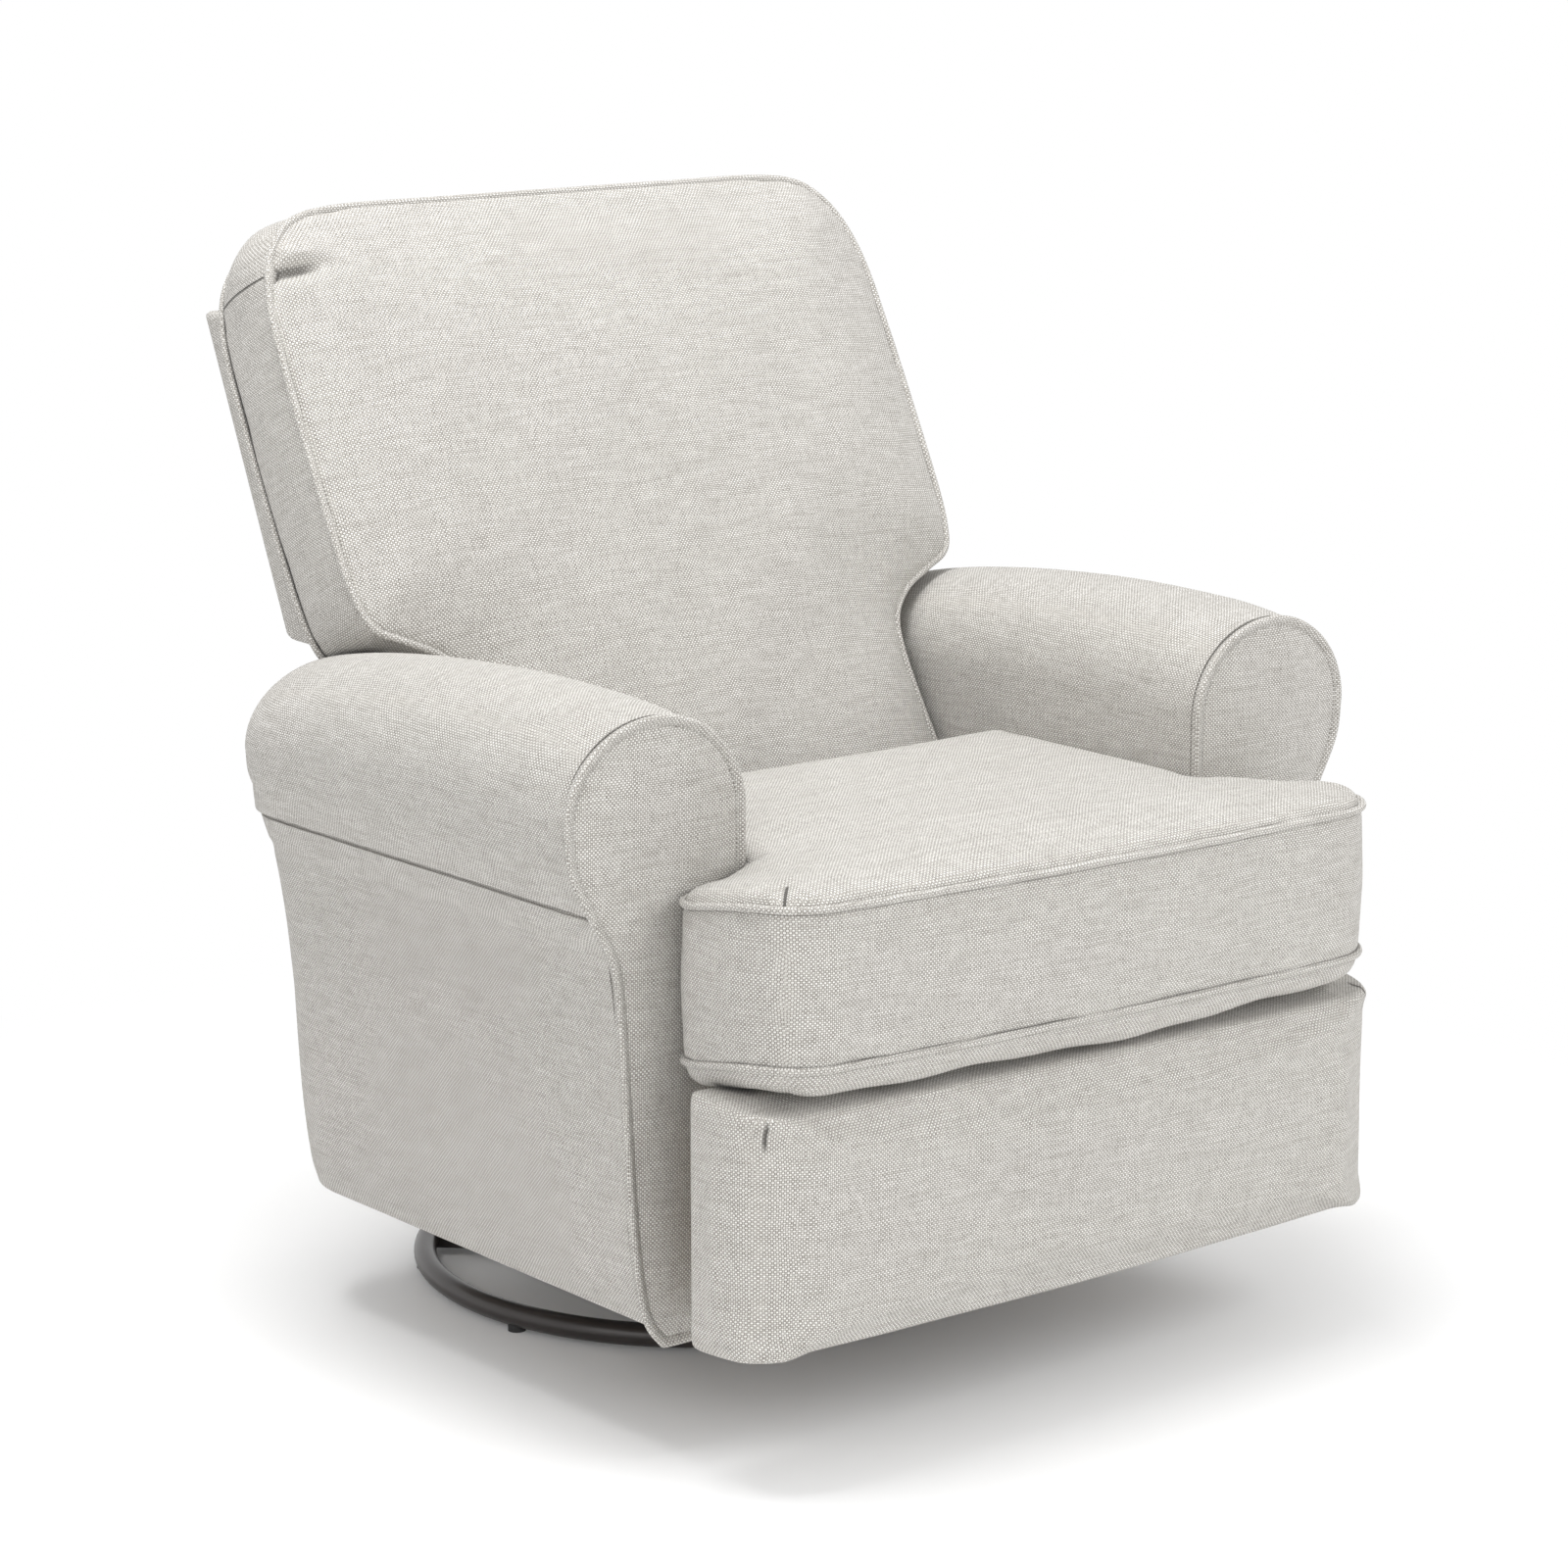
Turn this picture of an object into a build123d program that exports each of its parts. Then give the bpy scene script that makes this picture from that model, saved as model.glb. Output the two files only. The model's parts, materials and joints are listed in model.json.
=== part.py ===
from build123d import *
import os
from math import atan, cos, degrees, radians, sin

# Swivel glider nursery recliner.
# Millimetres. +Z is up, the front of the chair faces -Y, and the origin is on the
# swivel axis at the floor. "left" and "right" are the sitter's: left is at +X.

os.makedirs("parts", exist_ok=True)

# ---- driving dimensions ---------------------------------------------------
# floor ring and swivel bearing
ring_radius = 259.0
ring_tube = 21.0
glide_height = 4.0
glide_diameter = 16.0
glide_count = 8
glide_first_angle = 12.0
spider_width = 30.0
spider_height = 16.0
hub_thickness = 5.0
race_inner = 80.0
race_outer = 130.0
race_thickness = 5.0
ball_diameter = 9.0
ball_count = 24
groove_depth = 3.0
king_bolt = 16.0
swivel_plate_width = 340.0
swivel_plate_front = -125.0
swivel_plate_rear = 90.0
swivel_plate_thickness = 4.0
swivel_bolt_front = -100.0
swivel_bolt_rear = 25.0

# glider: uprights on the swivel plate, hanging links, carriage rails
upright_inner = 150.0
upright_thickness = 4.0
upright_flange = 30.0
window_margin_front = 40.0
window_margin_rear = 30.0
window_margin_bottom = 45.0
window_margin_top = 35.0
pivot_front = -130.0
pivot_rear = 30.0
pivot_top = 265.0
link_length = 135.0
link_width = 30.0
link_thickness = 5.0
pin_diameter = 10.0
pin_head = 18.0
pin_head_thickness = 3.5
running_gap = 0.1
side_gap = 2.0
rail_front = -250.0
rail_height = 38.0
rail_thickness = 5.0
rail_flange = 30.0
cross_tube_width = 25.0
cross_tube_height = 25.0
bolt_diameter = 8.0
bolt_head = 13.0
bolt_head_height = 5.0
bolt_clearance = 0.2
washer_gap = 0.3

# arms
seat_gap = 514.0
arm_width = 121.0
arm_side_lean = 7.0
arm_front = -386.0
arm_rear = 165.0
arm_rear_corner = 88.0
roll_radius = 87.5
roll_centre_z = 545.0
roll_seam_z = 465.0
roll_waist_z = 424.0
roll_drop_rear = 68.0
roll_under_cut = 0.27
arm_board_rear_gap = 15.0
roll_overhang = 26.0
hem_z = 114.0
front_panel_thickness = 14.0
front_panel_bottom = 96.0
inner_pad = 8.0
arm_board = 18.0
arm_pad_bottom = 345.0
rear_panel_top = 340.0
rear_panel_thickness = 18.0

# seat
ear_half_width = 343.0
cushion_front = -546.0
cushion_front_bow = 13.0
cushion_corner = 58.0
cushion_rear = -128.0
cushion_top = 484.0
cushion_rim = 7.0
cushion_crown = 13.0
cushion_crown_inset = 24.0
cushion_lip_inset = 20.0
cushion_lip_bottom = 336.0
cushion_lip_depth = 92.0
cushion_ear_gap = 4.0
soft_gap = 3.0
resting_gap = 0.3
seat_rail_outer = 227.0
seat_rail_width = 22.0
seat_rail_bottom = 300.0
seat_rail_top = 345.0
seat_frame_front = -345.0
seat_frame_rear = 60.0
rear_rail_drop = 5.0
spring_count = 5
spring_wire = 4.0
spring_pitch = 26.0
spring_half_width = 17.0
runner_height = 20.0
tongue_height = 12.0
tongue_depth = 10.0
track_height = 36.0
track_front = -250.0
track_rear = 40.0
track_gap = 0.5
runner_drop = 7.0
runner_cover = 8.0
runner_spare = 10.0
seat_travel = 25.0

# back
recline_y = 40.0
recline_z = 330.0
recline_pin = 12.0
back_lean = 0.515
back_foot_y = 37.0
back_foot_z = 624.0
back_half_width = 342.0
back_wing_corner = 18.0
back_top_z = 977.0
back_top_corner = 95.0
back_boxing = 90.0
back_crown = 24.0
back_crown_inset = 22.0
back_bottom_z = 366.0
back_waist_half_width = 250.0
back_wing_bottom = 621.0
shell_half_width = 310.0
shell_top_z = 876.0
shell_rear_y = 196.0
shell_rear_z = 575.0
shell_rear_lean = 0.444
shell_bottom_z = 337.0
shell_wing_bottom = 600.0
shell_thickness = 22.0
back_frame_bottom = 360.0
top_stile_width = 40.0
back_rail_height = 50.0
back_frame_gap = 0.5
hinge_plate = 4.0
hinge_gap = 1.0
hinge_strap_top = 470.0
hinge_strap_width = 30.0
pivot_plate_reach = 45.0
back_springs_low = 2
back_springs_high = 3

# footrest and its lazy tongs
drive_y = -361.0
drive_z = 335.0
drive_tube = 16.0
tong_length = 205.0
tong_width = 20.0
tong_thickness = 4.0
tong_gap = 2.0
tong_a_rest = -100.0
tong_b_rest = 65.0
tong_a_swing = 90.0
tong_b_swing = -60.0
tong_rivet = 8.0
footrest_rear = -437.0
footrest_front = -524.0
footrest_bow = 11.0
footrest_half_width = 350.0
footrest_bottom = 112.0
footrest_top = 314.0
footrest_side_corner = 44.0
footrest_edge = 26.0
footrest_board_thickness = 15.0
footrest_board_margin = 16.0
side_plate = 4.0
side_plate_ahead = 30.0
side_plate_behind = 24.0
side_plate_below = 21.0
side_plate_tab = 60.0
side_plate_drop = 40.0
roller_room = 1.2
drive_tube_wall = 2.0
rivet_tail = 2.0
bracket_end = 45.0
bracket_taper = 40.0
bracket_flange = 25.0
bracket_thickness = 3.0
screw_inset = 20.0
screw_from_link = 14.0
screw_radius = 3.0
screw_head_radius = 6.0
screw_head_height = 4.0
screw_length = 15.0

# release lever on the inside of the sitter's right arm
lever_y = -285.0
lever_pivot_z = 412.0
lever_top_z = 532.0
lever_tail_z = 362.0
lever_width = 22.0
lever_thickness = 4.0
lever_swing = 14.0
lever_room = 3.0
lever_grip = 14.0
lever_stud = 4.0
lever_cap = 7.0
bezel_thickness = 1.5
bezel_margin = 8.0
bezel_shift = 34.0

# ---- sizes that follow from the driving ones ---------------------------------
ring_z = glide_height + ring_tube / 2
spider_top = ring_z + spider_height / 2
race_mid_radius = (race_inner + race_outer) / 2
ball_z = spider_top + race_thickness - groove_depth + ball_diameter / 2
upper_race_z = 2 * ball_z - spider_top - race_thickness
swivel_plate_z = upper_race_z + race_thickness
upright_z = swivel_plate_z + swivel_plate_thickness
link_inner = upright_inner + upright_thickness + 2 * side_gap
rail_inner = link_inner + link_thickness + side_gap
pivot_low = pivot_top - link_length
rail_top = pivot_low + rail_height / 2
cross_z = rail_top + rail_thickness
cross_front = rail_front
rail_rear = arm_rear - rear_panel_thickness
cross_rear = rail_rear - cross_tube_width
inner_wall = seat_gap / 2
board_inner = inner_wall + inner_pad
outer_wall = inner_wall + arm_width
roll_x = inner_wall + roll_radius
roll_top = roll_centre_z + roll_radius
side_plate_x = seat_rail_outer
tong_a_x = side_plate_x + side_plate + tong_gap
tong_b_x = tong_a_x + tong_thickness + tong_gap
cushion_half_width = inner_wall - soft_gap
cushion_bottom = seat_rail_top + resting_gap
strap_x = seat_rail_outer + hinge_plate + hinge_gap
stile_x = strap_x + hinge_plate
pivot_plate_front = recline_y - pivot_plate_reach


# ---- small builders ---------------------------------------------------------
def block(x0, x1, y0, y1, z0, z1):
    """A box from its two corners."""
    return Pos((x0 + x1) / 2, (y0 + y1) / 2, (z0 + z1) / 2) * Box(x1 - x0, y1 - y0, z1 - z0)


def across(face, x0, x1):
    """A face drawn in Y and Z, made solid from x0 to x1."""
    return extrude(Plane.YZ.offset(x0) * face, x1 - x0)


def along(face, y0, y1):
    """A face drawn in X and Z, made solid from y0 to y1."""
    return extrude(Plane.XZ.offset(-y1) * face, y1 - y0)


def up(face, z0, z1):
    """A face drawn in X and Y, made solid from z0 to z1."""
    return extrude(Plane.XY.offset(z0) * face, z1 - z0)


def outline(points):
    """The flat face inside a closed run of straight lines."""
    return make_face(Polyline(*points, close=True))


def rod(radius, x0, x1, y, z):
    """A round bar along X."""
    return Pos((x0 + x1) / 2, y, z) * Rot(0, 90, 0) * Cylinder(radius, x1 - x0)


def post(radius, x, y, z0, z1):
    """A round bar along Z."""
    return Pos(x, y, (z0 + z1) / 2) * Cylinder(radius, z1 - z0)


def other_side(shape):
    return mirror(shape, about=Plane.YZ)


def save(name, *solids):
    """One node: a single solid, or a group of separate ones."""
    shape = solids[0] if len(solids) == 1 else Compound(children=list(solids))
    export_step(shape, f"parts/{name}.step")


def save_pair(name, shape):
    save(f"{name}_left", shape)
    save(f"{name}_right", other_side(shape))


# ---- base: ring, spider, glides, bearing -----------------------------------
def build_base():
    tube = Pos(0, 0, ring_z) * Torus(ring_radius, ring_tube / 2)
    save("base_ring", tube)

    arm = Box(2 * ring_radius, spider_width, spider_height)
    cross = Rot(0, 0, 45) * arm + Rot(0, 0, 135) * arm
    hub = post(race_outer, 0, 0, spider_top - hub_thickness, spider_top)
    spider = Pos(0, 0, ring_z) * cross + hub - tube - post(king_bolt / 2, 0, 0, 0, spider_top + 1)
    save("base_spider", max(spider.solids(), key=lambda s: s.volume))

    pads = []
    for i in range(glide_count):
        angle = radians(glide_first_angle + i * 360 / glide_count)
        x = ring_radius * cos(angle)
        y = ring_radius * sin(angle)
        pads.append(post(glide_diameter / 2, x, y, 0, ring_z) - tube)
    save("floor_glides", *[max(p.solids(), key=lambda s: s.bounding_box().size.X) for p in pads])

    groove = Pos(0, 0, ball_z) * Torus(race_mid_radius, ball_diameter / 2 + running_gap)
    flat_ring = Circle(race_outer) - Circle(race_inner)
    save("lower_race", up(flat_ring, spider_top, spider_top + race_thickness) - groove)
    save("upper_race", up(flat_ring, upper_race_z, swivel_plate_z) - groove)
    balls = []
    for i in range(ball_count):
        angle = radians(i * 360 / ball_count)
        ball = Sphere(ball_diameter / 2)
        balls.append(Pos(race_mid_radius * cos(angle), race_mid_radius * sin(angle), ball_z) * ball)
    save("bearing_balls", *balls)

    spider_bottom = ring_z - spider_height / 2
    shank = post(king_bolt / 2 - running_gap, 0, 0, spider_bottom, upright_z + 1)
    foot = post(king_bolt, 0, 0, spider_bottom - bolt_head_height, spider_bottom)
    nut = up(RegularPolygon(king_bolt, 6), upright_z + washer_gap, upright_z + king_bolt / 2)
    save("king_bolt", shank + foot + nut)


# ---- swivel plate and uprights ----------------------------------------------
def build_swivel():
    half = swivel_plate_width / 2
    sheet = block(-half, half, swivel_plate_front, swivel_plate_rear, swivel_plate_z, upright_z)
    sheet -= post(king_bolt / 2 + running_gap, 0, 0, 0, upright_z + 1)
    bolts = []
    inner = upright_inner - upright_flange
    for side in (-1, 1):
        for y in (swivel_bolt_front, swivel_bolt_rear):
            x = side * (inner + upright_flange / 2)
            sheet -= post(bolt_diameter / 2 + bolt_clearance, x, y, 0, upright_z + 1)
            bolts.append(hex_bolt(x, y, swivel_plate_z, upright_z + upright_thickness))
    save("swivel_plate", sheet)
    save("swivel_bolts", *bolts)

    half_top = link_width / 2 + 3
    web = outline([
        (swivel_plate_front, upright_z), (pivot_rear + half_top, upright_z),
        (pivot_rear + half_top, pivot_top + half_top), (pivot_front - half_top, pivot_top + half_top),
        (pivot_front - half_top, pivot_top - half_top),
    ])
    web = across(web, upright_inner, upright_inner + upright_thickness)
    web -= block(upright_inner - 1, upright_inner + upright_thickness + 1,
                 pivot_front + window_margin_front, pivot_rear - window_margin_rear,
                 upright_z + window_margin_bottom, pivot_top - window_margin_top)
    for y in (pivot_front, pivot_rear):
        web -= rod(pin_diameter / 2, upright_inner - 1, upright_inner + upright_thickness + 1, y, pivot_top)
    flange = block(inner, upright_inner, swivel_plate_front, pivot_rear + half_top,
                   upright_z, upright_z + upright_thickness)
    for y in (swivel_bolt_front, swivel_bolt_rear):
        flange -= post(bolt_diameter / 2 + bolt_clearance, inner + upright_flange / 2, y, 0, upright_z + 10)
    save_pair("glider_upright", web + flange)


def hex_bolt(x, y, z0, z1):
    """A hexagon bolt through z0 to z1: head below, nut above."""
    shank = post(bolt_diameter / 2, x, y, z0, z1)
    head = Pos(x, y, 0) * up(RegularPolygon(bolt_head / 2, 6), z0 - bolt_head_height, z0)
    nut = Pos(x, y, 0) * up(RegularPolygon(bolt_head / 2, 6), z1, z1 + bolt_head_height)
    return shank + head + nut


# ---- hanging links, their pins, carriage rails -----------------------------
def build_glider_links():
    for end, y in (("front", pivot_front), ("rear", pivot_rear)):
        face = Pos(y, pivot_top - link_length / 2) * Rot(0, 0, 90) * SlotCenterToCenter(link_length, link_width)
        for z in (pivot_top, pivot_low):
            face -= Pos(y, z) * Circle(pin_diameter / 2 + running_gap)
        save_pair(f"{end}_glide_link", across(face, link_inner, link_inner + link_thickness))

    upper = []
    lower = []
    washer = side_gap * 2 - washer_gap
    for y in (pivot_front, pivot_rear):
        outer = link_inner + link_thickness
        pin = rod(pin_diameter / 2, upright_inner, outer + washer_gap, y, pivot_top)
        pin += rod(pin_head / 2, upright_inner - pin_head_thickness, upright_inner, y, pivot_top)
        pin += rod(pin_head / 2, upright_inner + upright_thickness,
                   upright_inner + upright_thickness + washer, y, pivot_top)
        pin += rod(pin_head / 2, outer + washer_gap, outer + side_gap, y, pivot_top)
        upper += [pin, other_side(pin)]
        outer = rail_inner + rail_thickness
        pin = rod(pin_diameter / 2, link_inner - washer_gap, outer, y, pivot_low)
        pin += rod(pin_head / 2, outer, outer + pin_head_thickness, y, pivot_low)
        pin += rod(pin_head / 2, link_inner + link_thickness + washer_gap, rail_inner, y, pivot_low)
        pin += rod(pin_head / 2, link_inner - side_gap, link_inner - washer_gap, y, pivot_low)
        lower += [pin, other_side(pin)]
    save("upper_glide_pins", *upper)
    save("lower_glide_pins", *lower)


def build_carriage():
    outer = rail_inner + rail_thickness
    web = block(rail_inner, outer, rail_front, rail_rear, pivot_low - rail_height / 2, cross_z)
    for y in (pivot_front, pivot_rear):
        web -= rod(pin_diameter / 2, rail_inner - 1, outer + 1, y, pivot_low)
    rail = web + block(outer, outer + rail_flange, rail_front, rail_rear, rail_top, cross_z)
    bolt_x = outer + rail_flange / 2
    bolts = []
    tubes = {}
    for name, y0 in (("front", cross_front), ("rear", cross_rear)):
        y1 = y0 + cross_tube_width
        tube = block(-board_inner, board_inner, y0, y1, cross_z, cross_z + cross_tube_height)
        for x in (-bolt_x, bolt_x):
            hole = post(bolt_diameter / 2 + bolt_clearance, x, (y0 + y1) / 2, rail_top - 1, cross_z + 90)
            rail -= hole
            tube -= hole
            bolts.append(hex_bolt(x, (y0 + y1) / 2, rail_top, cross_z + cross_tube_height))
        tubes[name] = tube
    save_pair("carriage_rail", rail)
    save("front_cross_tube", tubes["front"])
    save("rear_cross_tube", tubes["rear"])
    save("carriage_bolts", *bolts)


# ---- arms --------------------------------------------------------------------
def roll_outline(bottom):
    """Arm section in X and Z above the given height: wall, half circle, waist."""
    side_bottom = outer_wall - arm_side_lean * (roll_waist_z - bottom) / roll_waist_z
    top = ThreePointArc((inner_wall, roll_centre_z), (roll_x, roll_top),
                        (roll_x + roll_radius, roll_centre_z))
    seam_x = roll_x + (1 - roll_under_cut) * roll_radius
    under = Spline((roll_x + roll_radius, roll_centre_z), (seam_x, roll_seam_z + 4),
                   (outer_wall + arm_side_lean, roll_waist_z), tangents=((0, -1), (-0.1, -1)))
    edge = Polyline((outer_wall + arm_side_lean, roll_waist_z), (side_bottom, bottom), (inner_wall, bottom),
                    (inner_wall, roll_centre_z))
    return make_face(Curve() + [top, under, edge])


def arm_plan(outer):
    """Plan of the arm out to the given X, with its round rear outer corner."""
    r = arm_rear_corner
    cut = r * (1 - cos(radians(45)))
    turn = ThreePointArc((outer, arm_rear - r), (outer - cut, arm_rear - cut), (outer - r, arm_rear))
    edge = Polyline((outer - r, arm_rear), (inner_wall - 1, arm_rear), (inner_wall - 1, arm_front - 1),
                    (outer, arm_front - 1), (outer, arm_rear - r))
    return make_face(Curve() + [turn, edge])


def roll_top_profile():
    """Side view of the arm: level over the front, falling to the rear."""
    level = roll_top - 5.5
    crown = Spline((arm_front - 1, level), (arm_front * 0.4, roll_top), (38, roll_top - 17.5),
                   (arm_rear + 1, roll_top - roll_drop_rear))
    edge = Polyline((arm_rear + 1, roll_top - roll_drop_rear), (arm_rear + 1, 0), (arm_front - 1, 0),
                    (arm_front - 1, level))
    return make_face(Curve() + [crown, edge])


def build_arms():
    body_front = arm_front + front_panel_thickness
    limits = across(roll_top_profile(), inner_wall - 2, roll_x + roll_radius + 1)
    whole = along(roll_outline(hem_z), body_front, arm_rear)
    roll = whole & limits & up(arm_plan(roll_x + roll_radius), roll_seam_z, roll_top + 1)
    body = whole & up(arm_plan(outer_wall + roll_overhang), hem_z - 1, roll_seam_z)
    body -= block(0, board_inner, -600, 400, 0, arm_pad_bottom)
    board_rear = arm_rear - arm_board_rear_gap
    board = block(board_inner, board_inner + arm_board, body_front, board_rear, hem_z + 4, roll_seam_z)
    body -= block(0, board_inner + arm_board, body_front - 1, board_rear, 0, arm_pad_bottom)
    body -= block(board_inner, board_inner + arm_board, body_front - 1, board_rear, 0, roll_seam_z)
    window = lever_window()
    save("arm_roll_left", roll)
    save("arm_roll_right", other_side(roll) - window)
    save("arm_body_left", body)
    save("arm_body_right", other_side(body) - window)
    save_pair("arm_board", board)
    front = along(roll_outline(front_panel_bottom), arm_front, body_front) & limits
    save_pair("arm_front_panel", front)

    panel = block(-board_inner, board_inner, rail_rear, rail_rear + rear_panel_thickness, hem_z, rear_panel_top)
    save("rear_panel", panel)


# ---- release lever -----------------------------------------------------------
def lever_face(grow=0.0):
    """Lever seen from the side: a bar from its tail to its grip."""
    span = lever_top_z - lever_tail_z
    bar = SlotOverall(span + 2 * grow, lever_width + 2 * grow)
    return Pos(lever_y, (lever_top_z + lever_tail_z) / 2) * Rot(0, 0, 90) * bar


def lever_sweep():
    """What the lever covers over its swing, with room all round, in Y and Z."""
    pivot = Pos(lever_y, lever_pivot_z)
    face = lever_face(lever_room)
    for part in (0.25, 0.5, 0.75, 1.0):
        turn = pivot * Rot(0, 0, -part * lever_swing) * pivot.inverse()
        face += turn * lever_face(lever_room)
    return face


def lever_window():
    """The slot in the arm's inner pad that the lever swings in."""
    return across(lever_sweep(), -board_inner, -inner_wall + 1)


def build_lever():
    gap = (inner_pad - lever_thickness) / 2
    outer = -inner_wall - gap
    lever = across(lever_face(), outer - lever_thickness, outer)
    knob = Pos(lever_y, lever_top_z - lever_width / 2) * Circle(lever_width / 2 - 1)
    grip = across(knob, outer, outer + lever_grip)
    hole = rod(lever_stud + running_gap, outer - lever_thickness - 1, outer + 1, lever_y, lever_pivot_z)
    save("release_lever", lever + grip - hole)
    stud = rod(lever_stud, -board_inner, outer + washer_gap, lever_y, lever_pivot_z)
    cap = rod(lever_cap, outer + washer_gap, -inner_wall, lever_y, lever_pivot_z)
    save("lever_pivot", stud + cap)
    z_mid = (lever_top_z + lever_tail_z) / 2
    high = lever_top_z - lever_tail_z + 2 * (lever_room + bezel_margin)
    wide = lever_width + 2 * (lever_room + bezel_margin) + bezel_shift
    rim = Pos(lever_y + bezel_shift / 4, z_mid) * RectangleRounded(wide, high, bezel_margin * 1.5)
    save("lever_bezel", across(rim - lever_sweep(), -inner_wall, -inner_wall + bezel_thickness))


# ---- seat frame, slides, springs, cushion -------------------------------------
def build_seat():
    inner = seat_rail_outer - seat_rail_width
    side = block(inner, seat_rail_outer, seat_frame_front, seat_frame_rear, seat_rail_bottom, seat_rail_top)
    front = block(-inner, inner, seat_frame_front, seat_frame_front + seat_rail_width,
                  seat_rail_bottom, seat_rail_top)
    rear = block(-inner, inner, seat_frame_rear - seat_rail_width, seat_frame_rear,
                 seat_rail_bottom, seat_rail_top - rear_rail_drop)
    save("seat_frame", side, other_side(side), front, rear)

    mid = (seat_rail_bottom + seat_rail_top) / 2 - runner_drop
    half = runner_height / 2
    tongue = tongue_height / 2
    reach = board_inner - tongue_depth - runner_cover
    runner_front = track_front + seat_travel + runner_spare
    runner = block(seat_rail_outer, reach, runner_front, pivot_plate_front, mid - half, mid + half)
    runner += block(reach, reach + tongue_depth, runner_front, pivot_plate_front, mid - tongue, mid + tongue)
    save("seat_runners", runner, other_side(runner))
    track = block(reach + track_gap, board_inner, track_front, track_rear, mid - track_height / 2,
                  mid + track_height / 2)
    track -= block(reach, reach + tongue_depth + track_gap, track_front - 1, track_rear + 1,
                   mid - tongue - track_gap, mid + tongue + track_gap)
    save("slide_tracks", track, other_side(track))

    save("seat_springs", *[seat_spring(i) for i in range(spring_count)])
    save("seat_cushion", seat_cushion())


def seat_spring(index):
    """A flat zigzag spring from the front rail to the rear rail."""
    room = 2 * (seat_rail_outer - seat_rail_width)
    x = room * ((index + 0.5) / spring_count - 0.5)
    y0 = seat_frame_front + seat_rail_width
    y1 = seat_frame_rear - seat_rail_width
    z = seat_rail_top - rear_rail_drop - spring_wire
    loops = int((y1 - y0 - 2 * spring_pitch) / spring_pitch)
    step = (y1 - y0) / (loops + 2)
    points = [(x, y0, z), (x, y0 + step, z)]
    for k in range(loops):
        way = 1 if k % 2 == 0 else -1
        y = y0 + step * (k + 1)
        points += [(x + way * spring_half_width, y, z), (x + way * spring_half_width, y + step, z)]
    points += [(x, y0 + step * (loops + 1), z), (x, y1, z)]
    path = FilletPolyline(*points, radius=step * 0.3)
    start = Plane(origin=points[0], z_dir=(0, 1, 0))
    return sweep(start * Circle(spring_wire / 2), path=path)


def cushion_plan(inset=0.0):
    """The T of the seat cushion, with a bowed front and round ears."""
    ear = ear_half_width - inset
    front = cushion_front + inset
    rear = cushion_rear - inset
    neck = cushion_half_width - inset
    shoulder = arm_front - cushion_ear_gap - inset
    bow = ThreePointArc((-ear, front + cushion_front_bow), (0, front), (ear, front + cushion_front_bow))
    edge = Polyline((ear, front + cushion_front_bow), (ear, shoulder), (neck, shoulder), (neck, rear),
                    (-neck, rear), (-neck, shoulder), (-ear, shoulder), (-ear, front + cushion_front_bow))
    face = make_face(Curve() + [bow, edge])
    corners = [v for v in face.vertices() if v.Y < front + cushion_front_bow + 1]
    return fillet(corners, cushion_corner - inset / 2)


def seat_cushion():
    body = up(cushion_plan(), cushion_bottom, cushion_top)
    rims = body.edges().filter_by(lambda e: e.bounding_box().size.Z < 0.01)
    body = fillet(rims, cushion_rim)
    dome = up(cushion_plan(cushion_crown_inset), cushion_top, cushion_top + cushion_crown)
    lip_rear = cushion_front + cushion_front_bow + cushion_lip_depth
    lip = up(cushion_plan(cushion_lip_inset), cushion_lip_bottom, cushion_bottom)
    lip &= block(-600, 600, cushion_front - 1, lip_rear, 0, 900)
    return body + dome + lip


# ---- back ---------------------------------------------------------------------
def cushion_rear_line(z):
    """Y of the back cushion's rear face at a height."""
    slant = (1 + back_lean ** 2) ** 0.5
    return back_foot_y + (z - back_foot_z) * back_lean + back_boxing * slant


def shell_rear_line(z):
    return shell_rear_y + (z - shell_rear_z) * shell_rear_lean


def back_plane():
    """Plane of the back cushion's front seam: X across, Y up the back, Z forward."""
    return Plane(origin=(0, back_foot_y, back_foot_z), x_dir=(1, 0, 0), z_dir=(0, -1, back_lean))


def back_outline(inset=0.0):
    """Wings above, narrow waist below, drawn in the plane of the back."""
    slant = (1 + back_lean ** 2) ** 0.5
    high = (back_top_z - back_foot_z) * slant - inset
    low = (back_bottom_z - back_foot_z) * slant + inset
    wing = back_half_width - inset
    waist = back_waist_half_width - inset
    corner = back_wing_corner
    face = outline([
        (-waist, low), (waist, low), (waist, -3 * corner + inset), (wing - 2 * corner, inset / 2),
        (wing, corner + inset), (wing, high), (-wing, high), (-wing, corner + inset),
        (-wing + 2 * corner, inset / 2), (-waist, -3 * corner + inset),
    ])
    tops = [v for v in face.vertices() if v.Y > high - 1]
    return fillet(tops, back_top_corner - inset / 2)


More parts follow.
